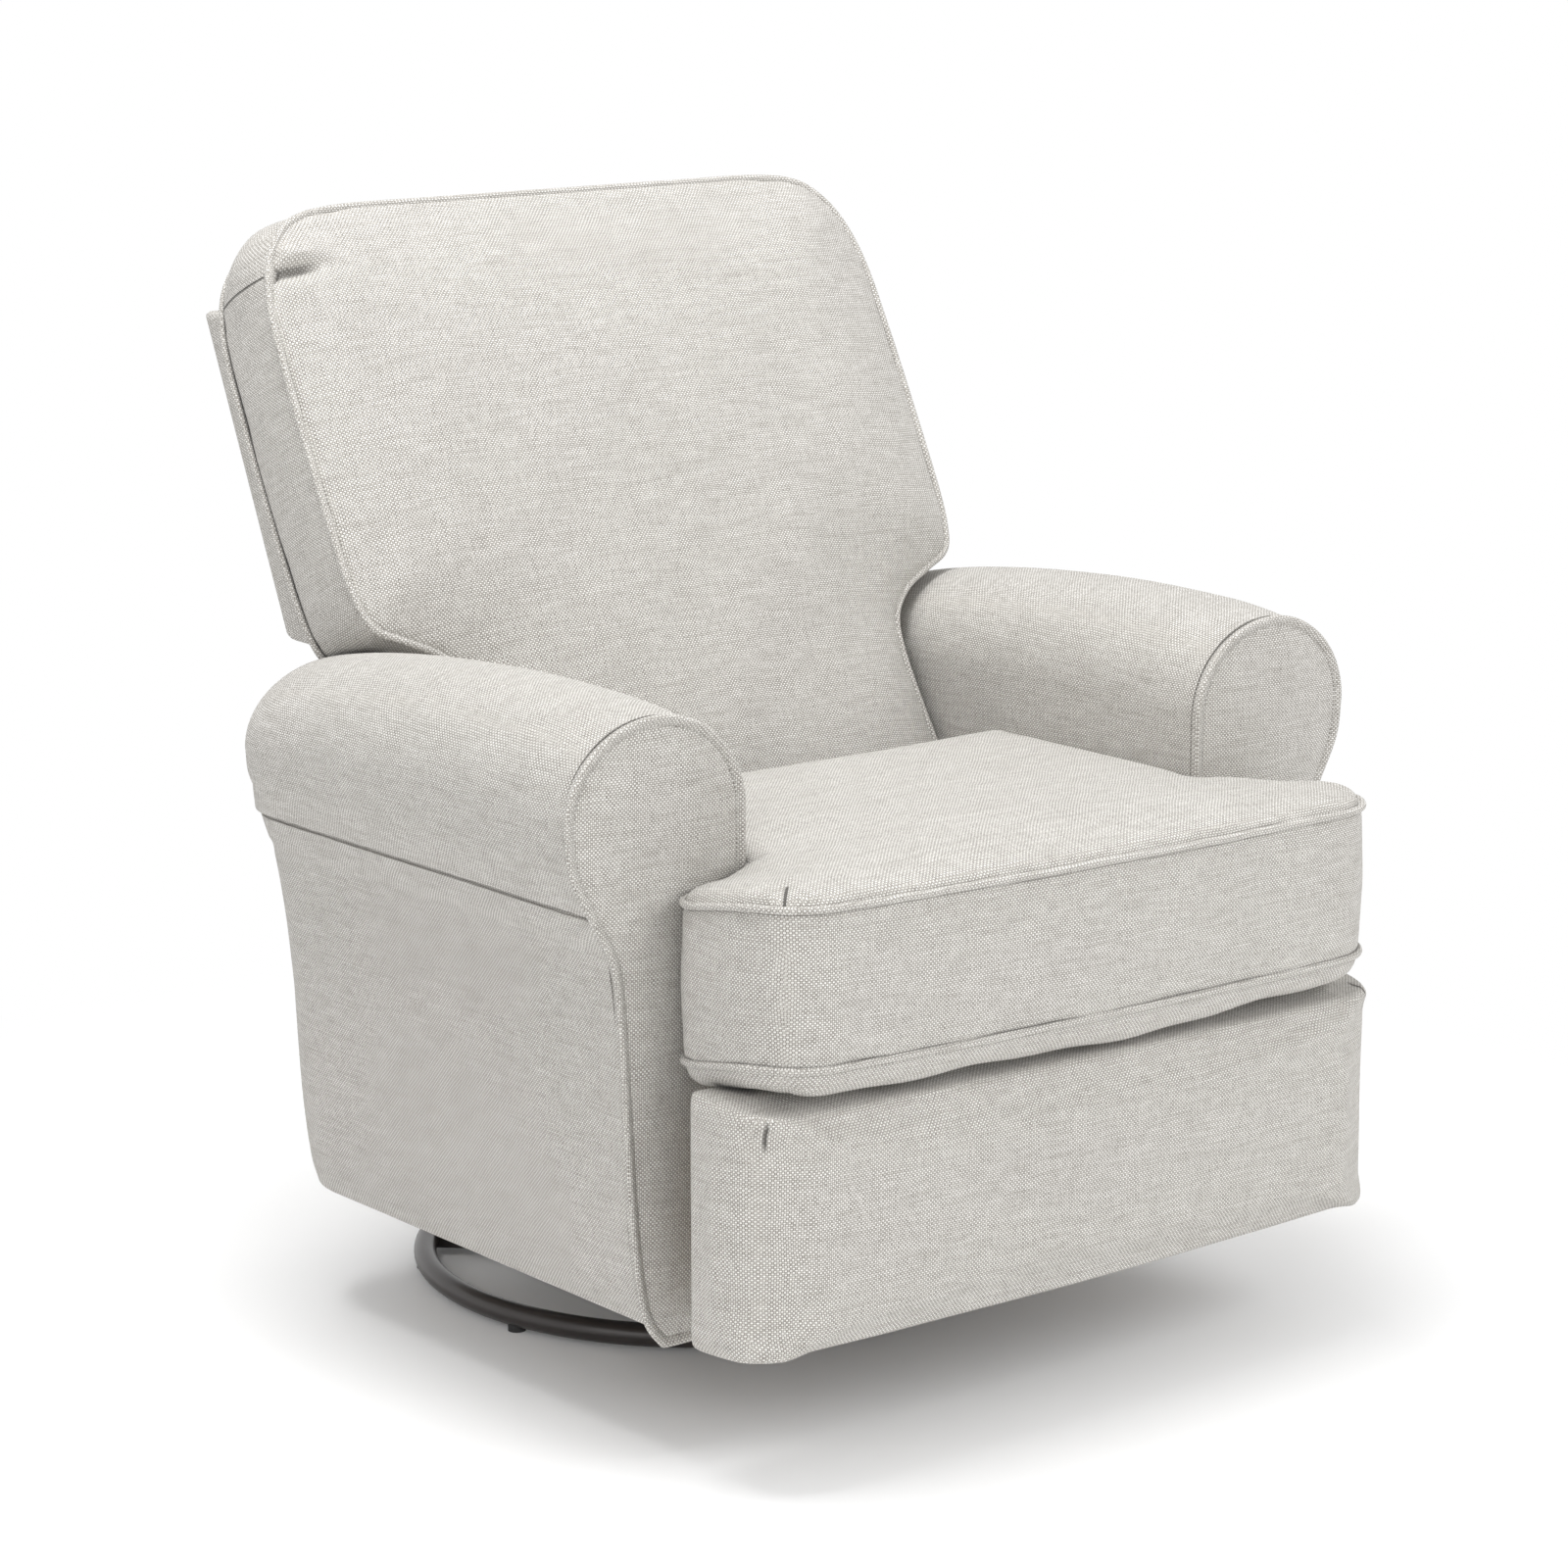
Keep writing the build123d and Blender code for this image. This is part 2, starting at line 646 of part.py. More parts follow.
def build_back():
    plane = back_plane()
    body = extrude(plane * back_outline(), -back_boxing)
    front = extrude(plane * back_outline(back_crown_inset), back_crown)
    notch = block(back_waist_half_width, 600, -300, 300, 0, back_wing_bottom)
    below = block(-600, 600, -300, 300, 0, back_bottom_z)
    cushion = body + front - notch - other_side(notch) - below
    save("back_cushion", cushion)

    z0 = shell_bottom_z
    z1 = shell_top_z
    skin = outline([
        (shell_rear_line(z0) - shell_thickness, z0), (shell_rear_line(z0), z0),
        (shell_rear_line(z1), z1), (shell_rear_line(z1) - shell_thickness, z1),
    ])
    shell = across(skin, -shell_half_width, shell_half_width)
    notch = block(back_waist_half_width, 600, -300, 500, 0, shell_wing_bottom)
    shell = shell - notch - other_side(notch)
    save("outer_back", shell)

    def layer(z0, z1, x0, x1):
        """A piece of the wooden frame between the cushion and the outer back."""
        points = [
            (cushion_rear_line(z0) + back_frame_gap, z0), (shell_rear_line(z0) - shell_thickness, z0),
            (shell_rear_line(z1) - shell_thickness, z1), (cushion_rear_line(z1) + back_frame_gap, z1),
        ]
        return across(outline(points), x0, x1)

    waist = back_waist_half_width
    low_stile = layer(back_frame_bottom, shell_wing_bottom, stile_x, waist)
    high_stile = layer(shell_wing_bottom + back_rail_height, shell_top_z - back_rail_height,
                       shell_half_width - top_stile_width, shell_half_width)
    foot = layer(back_frame_bottom, back_frame_bottom + back_rail_height, -strap_x, strap_x)
    middle = layer(shell_wing_bottom, shell_wing_bottom + back_rail_height, -shell_half_width, shell_half_width)
    head = layer(shell_top_z - back_rail_height, shell_top_z, -shell_half_width, shell_half_width)
    save("back_frame", low_stile, other_side(low_stile), high_stile, other_side(high_stile), foot, middle, head)

    ear_x = seat_rail_outer
    pin_r = recline_pin / 2
    ear = outline([
        (pivot_plate_front, seat_rail_bottom), (seat_frame_rear, seat_rail_bottom),
        (seat_frame_rear, recline_z + 8), (recline_y + 8, recline_z + 18), (pivot_plate_front, seat_rail_top),
    ]) - Pos(recline_y, recline_z) * Circle(pin_r)
    ear = across(ear, ear_x, ear_x + hinge_plate)
    save("back_pivot_plates", ear, other_side(ear))
    half = hinge_strap_width / 2
    strap = Pos(recline_y, recline_z) * Circle(half + 1)
    strap += outline([
        (recline_y - half, recline_z), (recline_y + half, recline_z),
        (shell_rear_line(hinge_strap_top) - shell_thickness - 2, hinge_strap_top),
        (cushion_rear_line(hinge_strap_top) + 4, hinge_strap_top),
        (cushion_rear_line(back_frame_bottom) + 4, back_frame_bottom),
    ])
    strap -= Pos(recline_y, recline_z) * Circle(pin_r + running_gap)
    strap = across(strap, strap_x, stile_x)
    save("back_hinge_straps", strap, other_side(strap))
    pin_end = stile_x + washer_gap
    pin = rod(pin_r, ear_x, pin_end, recline_y, recline_z)
    pin += rod(pin_r + 3, pin_end, pin_end + 3, recline_y, recline_z)
    save("recline_pins", pin, other_side(pin))

    high_reach = shell_half_width - top_stile_width
    springs = cross_wires(hinge_strap_top, shell_wing_bottom, back_springs_low, stile_x)
    springs += cross_wires(shell_wing_bottom + back_rail_height, shell_top_z - back_rail_height,
                           back_springs_high, high_reach)
    save("back_springs", *springs)


def cross_wires(z0, z1, count, reach):
    """Straight wires behind the back cushion, evenly spaced between two heights."""
    wires = []
    for i in range(count):
        z = z0 + (z1 - z0) * (i + 1) / (count + 1)
        wires.append(rod(spring_wire / 2, -reach, reach, cushion_rear_line(z) + spring_wire, z))
    return wires


# ---- footrest --------------------------------------------------------------------
def heading(angle, length):
    """Step in Y and Z for a bar at an angle above straight forward."""
    return (-length * cos(radians(angle)), length * sin(radians(angle)))


def step(point, angle, length):
    dy, dz = heading(angle, length)
    return (point[0] + dy, point[1] + dz)


def bar(start, angle, length):
    """A flat link with round ends, drawn in Y and Z."""
    end = step(start, angle, length)
    middle = ((start[0] + end[0]) / 2, (start[1] + end[1]) / 2)
    return Pos(*middle) * Rot(0, 0, -angle) * SlotCenterToCenter(length, tong_width)


def rivet(point, x0, x1):
    return rod(tong_rivet / 2, x0, x1, point[0], point[1])


def rivet_hole(point):
    return Pos(*point) * Circle(tong_rivet / 2 + running_gap)


def guide_point(part):
    """Centre of the tongs' rear roller after part (0 to 1) of the swing."""
    a = tong_a_rest + tong_a_swing * part
    b = tong_b_rest + tong_b_swing * part
    point = step((drive_y, drive_z), a, tong_length / 2)
    return step(point, b, -tong_length / 2)


def build_footrest():
    drive = (drive_y, drive_z)
    half = tong_length / 2
    middle = step(drive, tong_a_rest, half)
    low_end = step(drive, tong_a_rest, tong_length)
    roller = guide_point(0)
    shoulder = step(middle, tong_b_rest, half)
    crossing = step(shoulder, tong_a_rest, half)
    toe = step(shoulder, tong_a_rest, tong_length)
    a0 = tong_a_x
    a1 = a0 + tong_thickness
    b0 = tong_b_x
    b1 = b0 + tong_thickness

    # side plate on the seat rail: carries the drive tube and guides the roller
    plate_rear = roller[0] + side_plate_behind
    plate_front = drive_y - side_plate_ahead
    plate_low = roller[1] - side_plate_below
    tab_rear = plate_rear + side_plate_tab
    face = outline([
        (tab_rear, seat_rail_top), (plate_front, seat_rail_top), (plate_front, drive_z - side_plate_drop),
        (roller[0] - side_plate_ahead, plate_low), (plate_rear, plate_low), (plate_rear, seat_rail_bottom),
        (tab_rear, seat_rail_bottom),
    ])
    face -= Pos(*drive) * Circle(drive_tube / 2 + running_gap)
    slot_width = tong_rivet + roller_room
    path = Spline(*[guide_point(i / 8) for i in range(9)])
    face -= trace(path, line_width=slot_width)
    for part in (0, 1):
        face -= Pos(*guide_point(part)) * Circle(slot_width / 2)
    save_pair("footrest_side_plate", across(face, side_plate_x, side_plate_x + side_plate))

    # drive tube with the first pair of links welded to it
    bore = rod(drive_tube / 2 - drive_tube_wall, -a0 - 1, a0 + 1, *drive)
    save("drive_tube", rod(drive_tube / 2, -a0, a0, *drive) - bore)
    link = across(bar(drive, tong_a_rest, tong_length), a0, a1)
    link += rivet(middle, a1, b1 + rivet_tail)
    link += rivet(low_end, a1, b1 + rivet_tail)
    save_pair("tong_drive_link", link)

    # crossing link: roller in the side plate's slot, rivet at the middle, end at the shoulder
    face = bar(roller, tong_b_rest, tong_length) - rivet_hole(middle)
    link = across(face, b0, b1) + rivet(roller, side_plate_x, b0) + rivet(shoulder, a0 - 1.5, b0)
    save_pair("tong_cross_link", link)

    # short link that keeps the footrest link parallel with the drive link
    face = bar(low_end, tong_b_rest, half) - rivet_hole(low_end) - rivet_hole(crossing)
    save_pair("tong_short_link", across(face, b0, b1))

    # footrest link with its bracket for the board
    board_y = footrest_rear
    face = bar(shoulder, tong_a_rest, tong_length) + outline([
        step(shoulder, tong_a_rest, bracket_taper), step(toe, tong_a_rest, -bracket_taper / 2),
        (board_y, toe[1] + bracket_end), (board_y, shoulder[1] - bracket_end),
    ])
    face -= rivet_hole(shoulder)
    link = across(face, a0, a1) + rivet(crossing, a1, b1 + rivet_tail)
    flange_z0 = toe[1] + bracket_end
    flange_z1 = shoulder[1] - bracket_end
    flange_y = board_y + bracket_thickness
    link += block(a0 - bracket_flange, a1, board_y, flange_y, flange_z0, flange_z1)
    screws = []
    for z in (flange_z0 + screw_inset, flange_z1 - screw_inset):
        place = Pos(a0 - screw_from_link, flange_y, z) * Rot(90, 0, 0)
        link -= place * Cylinder(screw_radius + bolt_clearance, 2 * bracket_flange)
        shank = place * Pos(0, 0, screw_length / 2) * Cylinder(screw_radius, screw_length)
        head = place * Pos(0, 0, -screw_head_height / 2) * Cylinder(screw_head_radius, screw_head_height)
        screws += [shank + head, other_side(shank + head)]
    save_pair("footrest_link", link)
    save("footrest_screws", *screws)

    margin = footrest_board_margin
    board = block(margin - footrest_half_width, footrest_half_width - margin,
                  board_y - footrest_board_thickness, board_y, footrest_bottom + margin, footrest_top - margin)
    for screw in screws:
        board -= screw
    save("footrest_board", board)

    bow = ThreePointArc((-footrest_half_width, footrest_front), (0, footrest_front - footrest_bow),
                        (footrest_half_width, footrest_front))
    edge = Polyline((footrest_half_width, footrest_front), (footrest_half_width, board_y),
                    (-footrest_half_width, board_y), (-footrest_half_width, footrest_front))
    plan = make_face(Curve() + [bow, edge])
    corners = [v for v in plan.vertices() if v.Y < board_y - 1]
    pad = up(fillet(corners, footrest_side_corner), footrest_bottom, footrest_top)
    top_edges = pad.edges().filter_by(lambda e: e.bounding_box().size.Z < 0.01)
    top_edges = [e for e in top_edges if e.center().Y < board_y - 2]
    pad = fillet(top_edges, footrest_edge)
    inside = block(margin - footrest_half_width, footrest_half_width - margin,
                   board_y - footrest_board_thickness, board_y + 1,
                   footrest_bottom + margin, footrest_top - margin)
    save("footrest_pad", pad - inside)


build_base()
build_swivel()
build_glider_links()
build_carriage()
build_arms()
build_lever()
build_seat()
build_back()
build_footrest()
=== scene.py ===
"""Swivel glider nursery recliner: covers, cushions, finishes and stage around the fixed CAD frame.

Metres. +Z is up, the chair faces -Y, and +X is the sitter's left.
"""

import json
from math import radians

import bmesh
import bpy
import numpy as np
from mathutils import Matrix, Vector


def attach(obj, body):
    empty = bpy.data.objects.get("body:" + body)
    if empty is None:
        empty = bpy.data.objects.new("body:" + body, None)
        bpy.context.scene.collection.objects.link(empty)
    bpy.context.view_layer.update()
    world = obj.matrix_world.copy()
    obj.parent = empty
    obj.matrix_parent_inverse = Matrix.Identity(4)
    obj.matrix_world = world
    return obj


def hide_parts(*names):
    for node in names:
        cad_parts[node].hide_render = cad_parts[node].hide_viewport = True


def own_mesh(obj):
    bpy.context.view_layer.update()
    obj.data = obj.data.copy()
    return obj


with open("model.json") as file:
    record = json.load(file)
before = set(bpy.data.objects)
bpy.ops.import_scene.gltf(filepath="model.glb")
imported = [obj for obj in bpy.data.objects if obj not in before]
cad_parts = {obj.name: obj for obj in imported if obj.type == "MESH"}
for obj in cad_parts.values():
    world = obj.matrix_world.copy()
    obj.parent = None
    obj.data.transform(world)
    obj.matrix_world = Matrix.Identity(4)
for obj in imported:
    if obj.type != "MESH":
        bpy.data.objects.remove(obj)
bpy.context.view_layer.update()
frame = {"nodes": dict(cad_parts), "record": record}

bl_info = {
    "name": "Swivel glider recliner",
    "version": (1, 0, 0),
    "blender": (4, 5, 0),
    "location": "3D View > Sidebar > Recliner",
    "description": "Dresses the CAD frame of a swivel glider recliner",
    "category": "Add Mesh",
}

# ---- curves -------------------------------------------------------------------


def through(points, spacing, closed=False):
    """Smooth line through the given points, resampled at an even spacing.

    Each span is a Catmull-Rom cubic: 0.5 (2b + (c - a) t + (2a - 5b + 4c - d) t^2 + (3b - 3c + d - a) t^3).
    """
    points = np.asarray(points, float)
    if closed:
        ring = np.concatenate([points[-1:], points, points[:2]])
    else:
        ring = np.concatenate([2 * points[:1] - points[1:2], points, 2 * points[-1:] - points[-2:-1]])
    a, b, c, d = ring[:-3, None], ring[1:-2, None], ring[2:-1, None], ring[3:, None]
    t = np.linspace(0, 1, 24, endpoint=False)[None, :, None]
    line = 0.5 * (2 * b + (c - a) * t + (2 * a - 5 * b + 4 * c - d) * t**2 + (3 * b - 3 * c + d - a) * t**3)
    line = line.reshape(-1, points.shape[1])
    if not closed:
        line = np.concatenate([line, points[-1:]])
    return even(line, spacing, closed)


def even(line, spacing, closed=False):
    """A line resampled by its length, so that its points are evenly spaced."""
    line = np.asarray(line, float)
    if closed:
        line = np.concatenate([line, line[:1]])
    length = np.concatenate([[0], np.cumsum(np.linalg.norm(np.diff(line, axis=0), axis=1))])
    count = max(int(round(length[-1] / spacing)), 3)
    at = np.linspace(0, length[-1], count + 1)[: count if closed else None]
    return np.stack([np.interp(at, length, line[:, k]) for k in range(line.shape[1])], 1)


def rounded(corners, radii, spacing):
    """Closed outline of straight runs with circular corners.

    Each arc turns from one run's direction to the next: (sin((1 - t) w) start + sin(t w) end) / sin w.
    """
    corners = np.asarray(corners, float)
    radii = np.asarray(radii, float)
    before = np.roll(corners, 1, 0) - corners
    after = np.roll(corners, -1, 0) - corners
    before /= np.linalg.norm(before, axis=1)[:, None]
    after /= np.linalg.norm(after, axis=1)[:, None]
    angle = np.arccos(np.clip((before * after).sum(1), -1, 1))
    bisector = before + after
    bisector /= np.linalg.norm(bisector, axis=1)[:, None]
    centre = corners + bisector * (radii / np.sin(angle / 2))[:, None]
    reach = (radii / np.tan(angle / 2))[:, None]
    start = corners + before * reach - centre
    end = corners + after * reach - centre
    t = np.linspace(0, 1, 13)[None, :, None]
    sweep = (np.pi - angle)[:, None, None]
    arcs = (np.sin((1 - t) * sweep) * start[:, None] + np.sin(t * sweep) * end[:, None]) / np.sin(sweep)
    return even((arcs + centre[:, None]).reshape(-1, 2), spacing, closed=True)


def inward(outline):
    """Unit vectors that point into a closed flat outline: tangents turned a quarter towards its inside."""
    tangent = np.roll(outline, -1, 0) - np.roll(outline, 1, 0)
    tangent /= np.linalg.norm(tangent, axis=1)[:, None] + 1e-12
    x, y = outline[:, 0], outline[:, 1]
    area = (x * np.roll(y, -1) - np.roll(x, -1) * y).sum()
    turned = np.stack([-tangent[:, 1], tangent[:, 0]], 1)
    return turned if area > 0 else -turned


def edge_distance(points, outline):
    """Distance from each point to the nearest point of a closely spaced outline."""
    nearest = np.full(len(points), np.inf)
    for part in np.array_split(outline, max(len(outline) // 60, 1)):
        gap = points[:, None] - part[None]
        nearest = np.minimum(nearest, np.sqrt((gap**2).sum(2)).min(1))
    return nearest


def smoothstep(x, low, high):
    """0 below low, 1 above high, and 3t^2 - 2t^3 between."""
    t = np.clip((x - low) / (high - low), 0, 1)
    return t * t * (3 - 2 * t)


def ripple(points, seed, size):
    """A smooth uneven field of about -1 to 1: the mean of six sine waves in seeded directions."""
    rng = np.random.default_rng(seed)
    waves = rng.normal(size=(6, 3)) * (2 * np.pi / size) * 0.6
    phase = rng.uniform(0, 2 * np.pi, 6)
    return np.sin(points @ waves.T + phase).mean(1) * 1.6


# ---- meshes -------------------------------------------------------------------


def grid_faces(rows, columns, closed=False):
    """Quads of a grid stored row by row; closed joins each row's last column to its first."""
    r = np.arange(rows - 1)
    c = np.arange(columns if closed else columns - 1)
    r, c = np.meshgrid(r, c, indexing="ij")
    near, far = r * columns + c, r * columns + (c + 1) % columns
    return np.stack([near, far, far + columns, near + columns], -1).reshape(-1, 4)


def raw_mesh(name, points, faces, ends=()):
    """A mesh from arrays of points and quads, with any extra end faces."""
    mesh = bpy.data.meshes.new(name)
    points = np.asarray(points, float).reshape(-1, 3)
    mesh.from_pydata(points.tolist(), [], faces.tolist() + [list(end) for end in ends])
    return mesh


def tidy_mesh(mesh, gap=1e-5):
    """Merges doubled points and turns every face outwards."""
    work = bmesh.new()
    work.from_mesh(mesh)
    bmesh.ops.remove_doubles(work, verts=work.verts, dist=gap)
    bmesh.ops.recalc_face_normals(work, faces=work.faces)
    work.to_mesh(mesh)
    work.free()
    return mesh


def piece(name, mesh, material, body, crease=None):
    """A smooth-shaded object at the origin that rides on a body and takes its finish from a slot."""
    obj = bpy.data.objects.new(name, mesh)
    bpy.context.scene.collection.objects.link(obj)
    mesh.materials.clear()
    mesh.materials.append(material)
    mesh.polygons.foreach_set("use_smooth", np.ones(len(mesh.polygons), bool))
    if crease is not None:
        mesh.set_sharp_from_angle(angle=radians(crease))
    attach(obj, body)
    return obj


def loft(name, rows):
    """Closed skin through rows of points that all have the same count, with flat end faces."""
    rows = np.asarray(rows)
    count, columns = rows.shape[:2]
    faces = grid_faces(count, columns, closed=True)
    ends = [range(columns - 1, -1, -1), range((count - 1) * columns, count * columns)]
    return tidy_mesh(raw_mesh(name, rows, faces, ends))


def piping(name, line, normal, radius, body, flange=0.007, sides=10):
    """Piping along a closed flat line: circles in the plane of the flat's normal and the line's outward side.

    The innermost point of each circle is drawn inwards by the flange, which is the piping's seam allowance.
    """
    normal = np.asarray(normal, float) / np.linalg.norm(normal)
    tangent = np.roll(line, -1, 0) - np.roll(line, 1, 0)
    tangent /= np.linalg.norm(tangent, axis=1)[:, None] + 1e-12
    turn = np.cross(line - line.mean(0), tangent).sum(0) @ normal
    side = np.cross(tangent, normal) * np.sign(turn)
    angle = np.linspace(0, 2 * np.pi, sides, endpoint=False)
    across, up = np.cos(angle)[None, :, None], np.sin(angle)[None, :, None]
    rows = line[:, None] + radius * (across * side[:, None] + up * normal)
    rows[:, sides // 2] -= flange * side
    rows = np.concatenate([rows, rows[:1]])
    mesh = tidy_mesh(raw_mesh(name, rows, grid_faces(len(rows), sides, closed=True)))
    return piece(name, mesh, cloth(), body)


# ---- soft pieces ----------------------------------------------------------------


def coords(mesh):
    """A mesh's points as an array."""
    flat = np.empty(len(mesh.vertices) * 3, np.float32)
    mesh.vertices.foreach_get("co", flat)
    return flat.reshape(-1, 3).astype(float)


def put_coords(mesh, points):
    """Moves a mesh's points to new places."""
    mesh.vertices.foreach_set("co", np.asarray(points, np.float32).ravel())
    mesh.update()


def baked(obj):
    """The object's mesh as its modifiers leave it."""
    graph = bpy.context.evaluated_depsgraph_get()
    graph.update()
    return bpy.data.meshes.new_from_object(obj.evaluated_get(graph))


def remeshed(mesh, voxel):
    """The same closed form in even quads."""
    obj = bpy.data.objects.new("remesh_work", mesh)
    bpy.context.scene.collection.objects.link(obj)
    modifier = obj.modifiers.new("voxels", "REMESH")
    modifier.mode = "VOXEL"
    modifier.voxel_size = voxel
    result = baked(obj)
    bpy.data.objects.remove(obj)
    return result


def puffed(mesh, held, cap, pressure):
    """The mesh after cloth pressure has filled it.

    Points held by more than 0 stay by that share, and no point moves further than its own cap.
    """
    scene = bpy.context.scene
    obj = bpy.data.objects.new("cloth_work", mesh)
    scene.collection.objects.link(obj)
    group = obj.vertex_groups.new(name="held")
    levels = np.round(np.clip(held, 0, 1) * 4) / 4
    for level in (0.25, 0.5, 0.75, 1.0):
        group.add(np.nonzero(levels == level)[0].tolist(), level, "REPLACE")
    cloth = obj.modifiers.new("cloth", "CLOTH")
    settings = cloth.settings
    settings.quality = 5
    settings.mass = 0.3
    settings.tension_stiffness = 15
    settings.compression_stiffness = 15
    settings.shear_stiffness = 5
    settings.bending_stiffness = 0.5
    settings.use_pressure = True
    settings.uniform_pressure_force = pressure
    settings.vertex_group_mass = "held"
    settings.effector_weights.gravity = 0
    cloth.collision_settings.use_collision = False
    cloth.collision_settings.use_self_collision = False
    cloth.point_cache.frame_start = 1
    cloth.point_cache.frame_end = 20
    for step in range(1, 21):
        scene.frame_set(step)
    result = baked(obj)
    start = coords(mesh)
    move = coords(result) - start
    length = np.linalg.norm(move, axis=1)
    move *= np.minimum(1, cap / np.maximum(length, 1e-9))[:, None]
    put_coords(result, start + move)
    bpy.data.objects.remove(obj)
    scene.frame_set(1)
    return result


def soften(mesh, rounds, share=0.5):
    """Moves each point towards the mean of its neighbours along edges, several times."""
    edges = np.empty(len(mesh.edges) * 2, np.int32)
    mesh.edges.foreach_get("vertices", edges)
    a, b = edges.reshape(-1, 2).T
    points = coords(mesh)
    size = len(points)
    count = (np.bincount(a, minlength=size) + np.bincount(b, minlength=size))[:, None]
    for _ in range(rounds):
        total = [np.bincount(a, points[b, k], size) + np.bincount(b, points[a, k], size) for k in range(3)]
        points += share * (np.stack(total, 1) / np.maximum(count, 1) - points)
    put_coords(mesh, points)
    return mesh


def subdivided(obj):
    """The object with one level of smoothing."""
    modifier = obj.modifiers.new("smooth", "SUBSURF")
    modifier.levels = 1
    modifier.render_levels = 1
    return obj


# ---- shader nodes -----------------------------------------------------------------


def node(tree, kind, settings=None, **inputs):
    """A shader node with its settings, its inputs linked or set by name; i0, i1 ... are inputs by place."""
    made = tree.nodes.new(kind)
    for key, value in (settings or {}).items():
        setattr(made, key, value)
    for key, value in inputs.items():
        by_place = key[0] == "i" and key[1:].isdigit()
        socket = made.inputs[int(key[1:]) if by_place else key.replace("_", " ")]
        if isinstance(value, bpy.types.NodeSocket):
            tree.links.new(value, socket)
        else:
            socket.default_value = value
    return made


def maths(tree, operation, *values):
    """A maths node's value."""
    inputs = {f"i{k}": v for k, v in enumerate(values)}
    return node(tree, "ShaderNodeMath", {"operation": operation}, **inputs).outputs[0]


def noise(tree, place, scale, **inputs):
    """A noise texture's value."""
    return node(tree, "ShaderNodeTexNoise", None, Vector=place, Scale=scale, **inputs).outputs[0]


def bump(tree, height, distance, strength=1.0, settings=None, **inputs):
    """The normal of a surface with a height on it."""
    inputs = {"Height": height, "Distance": distance, "Strength": strength, **inputs}
    return node(tree, "ShaderNodeBump", settings, **inputs).outputs[0]


def ramp(tree, factor, stops):
    """Colours by a factor; each stop is a (place, colour) pair."""
    made = node(tree, "ShaderNodeValToRGB", None, i0=factor)
    elements = made.color_ramp.elements
    while len(elements) < len(stops):
        elements.new(0.5)
    for element, (place, colour) in zip(elements, stops):
        element.position = place
        element.color = (*colour, 1)
    return made.outputs[0]


def new_group(name, inputs, outputs):
    """An empty shader node group with the named sockets; each is a (name, socket type) pair."""
    tree = bpy.data.node_groups.new(name, "ShaderNodeTree")
    for side, sockets in (("INPUT", inputs), ("OUTPUT", outputs)):
        for socket, kind in sockets:
            tree.interface.new_socket(socket, in_out=side, socket_type=kind)
    return tree, tree.nodes.new("NodeGroupInput").outputs, tree.nodes.new("NodeGroupOutput").inputs


def use_group(tree, group, **inputs):
    """A placed node group's outputs."""
    made = tree.nodes.new("ShaderNodeGroup")
    made.node_tree = group
    for key, value in inputs.items():
        tree.links.new(value, made.inputs[key.replace("_", " ")])
    return made.outputs


def plain_weave_group():
    """Threads seen square on: warp and weft cross in a checker, each thread a half-round ridge.

    Height is cos(pi x) (0.6 + 0.4 cos(pi y)) of the thread on top. Tone adds a noise that is stretched
    along the thread on top, a lift where the lighter weft is on top, and a share of the height, which is
    painted light on the threads' crowns and painted shade in the dips between them.
    """
    tree, inside, out = new_group(
        "plain_weave", [("Across", "NodeSocketFloat"), ("Up", "NodeSocketFloat")],
        [("Height", "NodeSocketFloat"), ("Tone", "NodeSocketFloat")])
    place = node(tree, "ShaderNodeCombineXYZ", None, X=inside["Across"], Y=inside["Up"]).outputs[0]
    drift = node(tree, "ShaderNodeTexNoise", {"noise_dimensions": "2D"}, Vector=place, Scale=0.05, Detail=2.0)
    drift_x = maths(tree, "MULTIPLY_ADD", drift.outputs[0], 1.2, inside["Across"])
    shade = node(tree, "ShaderNodeSeparateColor", None, i0=drift.outputs[1]).outputs
    drift_y = maths(tree, "MULTIPLY_ADD", shade[1], 1.2, inside["Up"])
    cell_x, cell_y = [maths(tree, "FLOOR", drifted) for drifted in (drift_x, drift_y)]
    ridges = []
    for drifted in (drift_x, drift_y):
        off_middle = maths(tree, "SUBTRACT", maths(tree, "FRACT", drifted), 0.5)
        ridges.append(maths(tree, "COSINE", maths(tree, "MULTIPLY", off_middle, np.pi)))
    ridge_x, ridge_y = ridges
    over = maths(tree, "FLOORED_MODULO", maths(tree, "ADD", cell_x, cell_y), 2.0)
    warp = maths(tree, "MULTIPLY", ridge_x, maths(tree, "MULTIPLY_ADD", ridge_y, 0.4, 0.6))
    weft = maths(tree, "MULTIPLY", ridge_y, maths(tree, "MULTIPLY_ADD", ridge_x, 0.4, 0.6))
    height = node(tree, "ShaderNodeMix", None, i0=over, i2=warp, i3=weft).outputs[0]

    warp_place = node(tree, "ShaderNodeCombineXYZ", None, X=maths(tree, "MULTIPLY", cell_x, 7.31),
                      Y=maths(tree, "MULTIPLY", drift_y, 0.16)).outputs[0]
    weft_place = node(tree, "ShaderNodeCombineXYZ", None, X=maths(tree, "MULTIPLY", drift_x, 0.05),
                      Y=maths(tree, "MULTIPLY", cell_y, 5.17)).outputs[0]
    flat = {"noise_dimensions": "2D"}
    threads = []
    for along in (warp_place, weft_place):
        thread = node(tree, "ShaderNodeTexNoise", flat, Vector=along, Scale=1.0, Detail=1.0)
        threads.append(thread.outputs[0])
    tone = node(tree, "ShaderNodeMix", None, i0=over, i2=threads[0], i3=threads[1]).outputs[0]
    tone = maths(tree, "MULTIPLY_ADD", tone, 0.45, -0.24)
    # Painted light and shade: the height's share makes thread crowns lighter and the dips between threads
    # darker.
    tone = maths(tree, "MULTIPLY_ADD", over, 0.38, maths(tree, "MULTIPLY_ADD", height, 0.62, tone))
    tree.links.new(height, out["Height"])
    tree.links.new(tone, out["Tone"])
    return tree


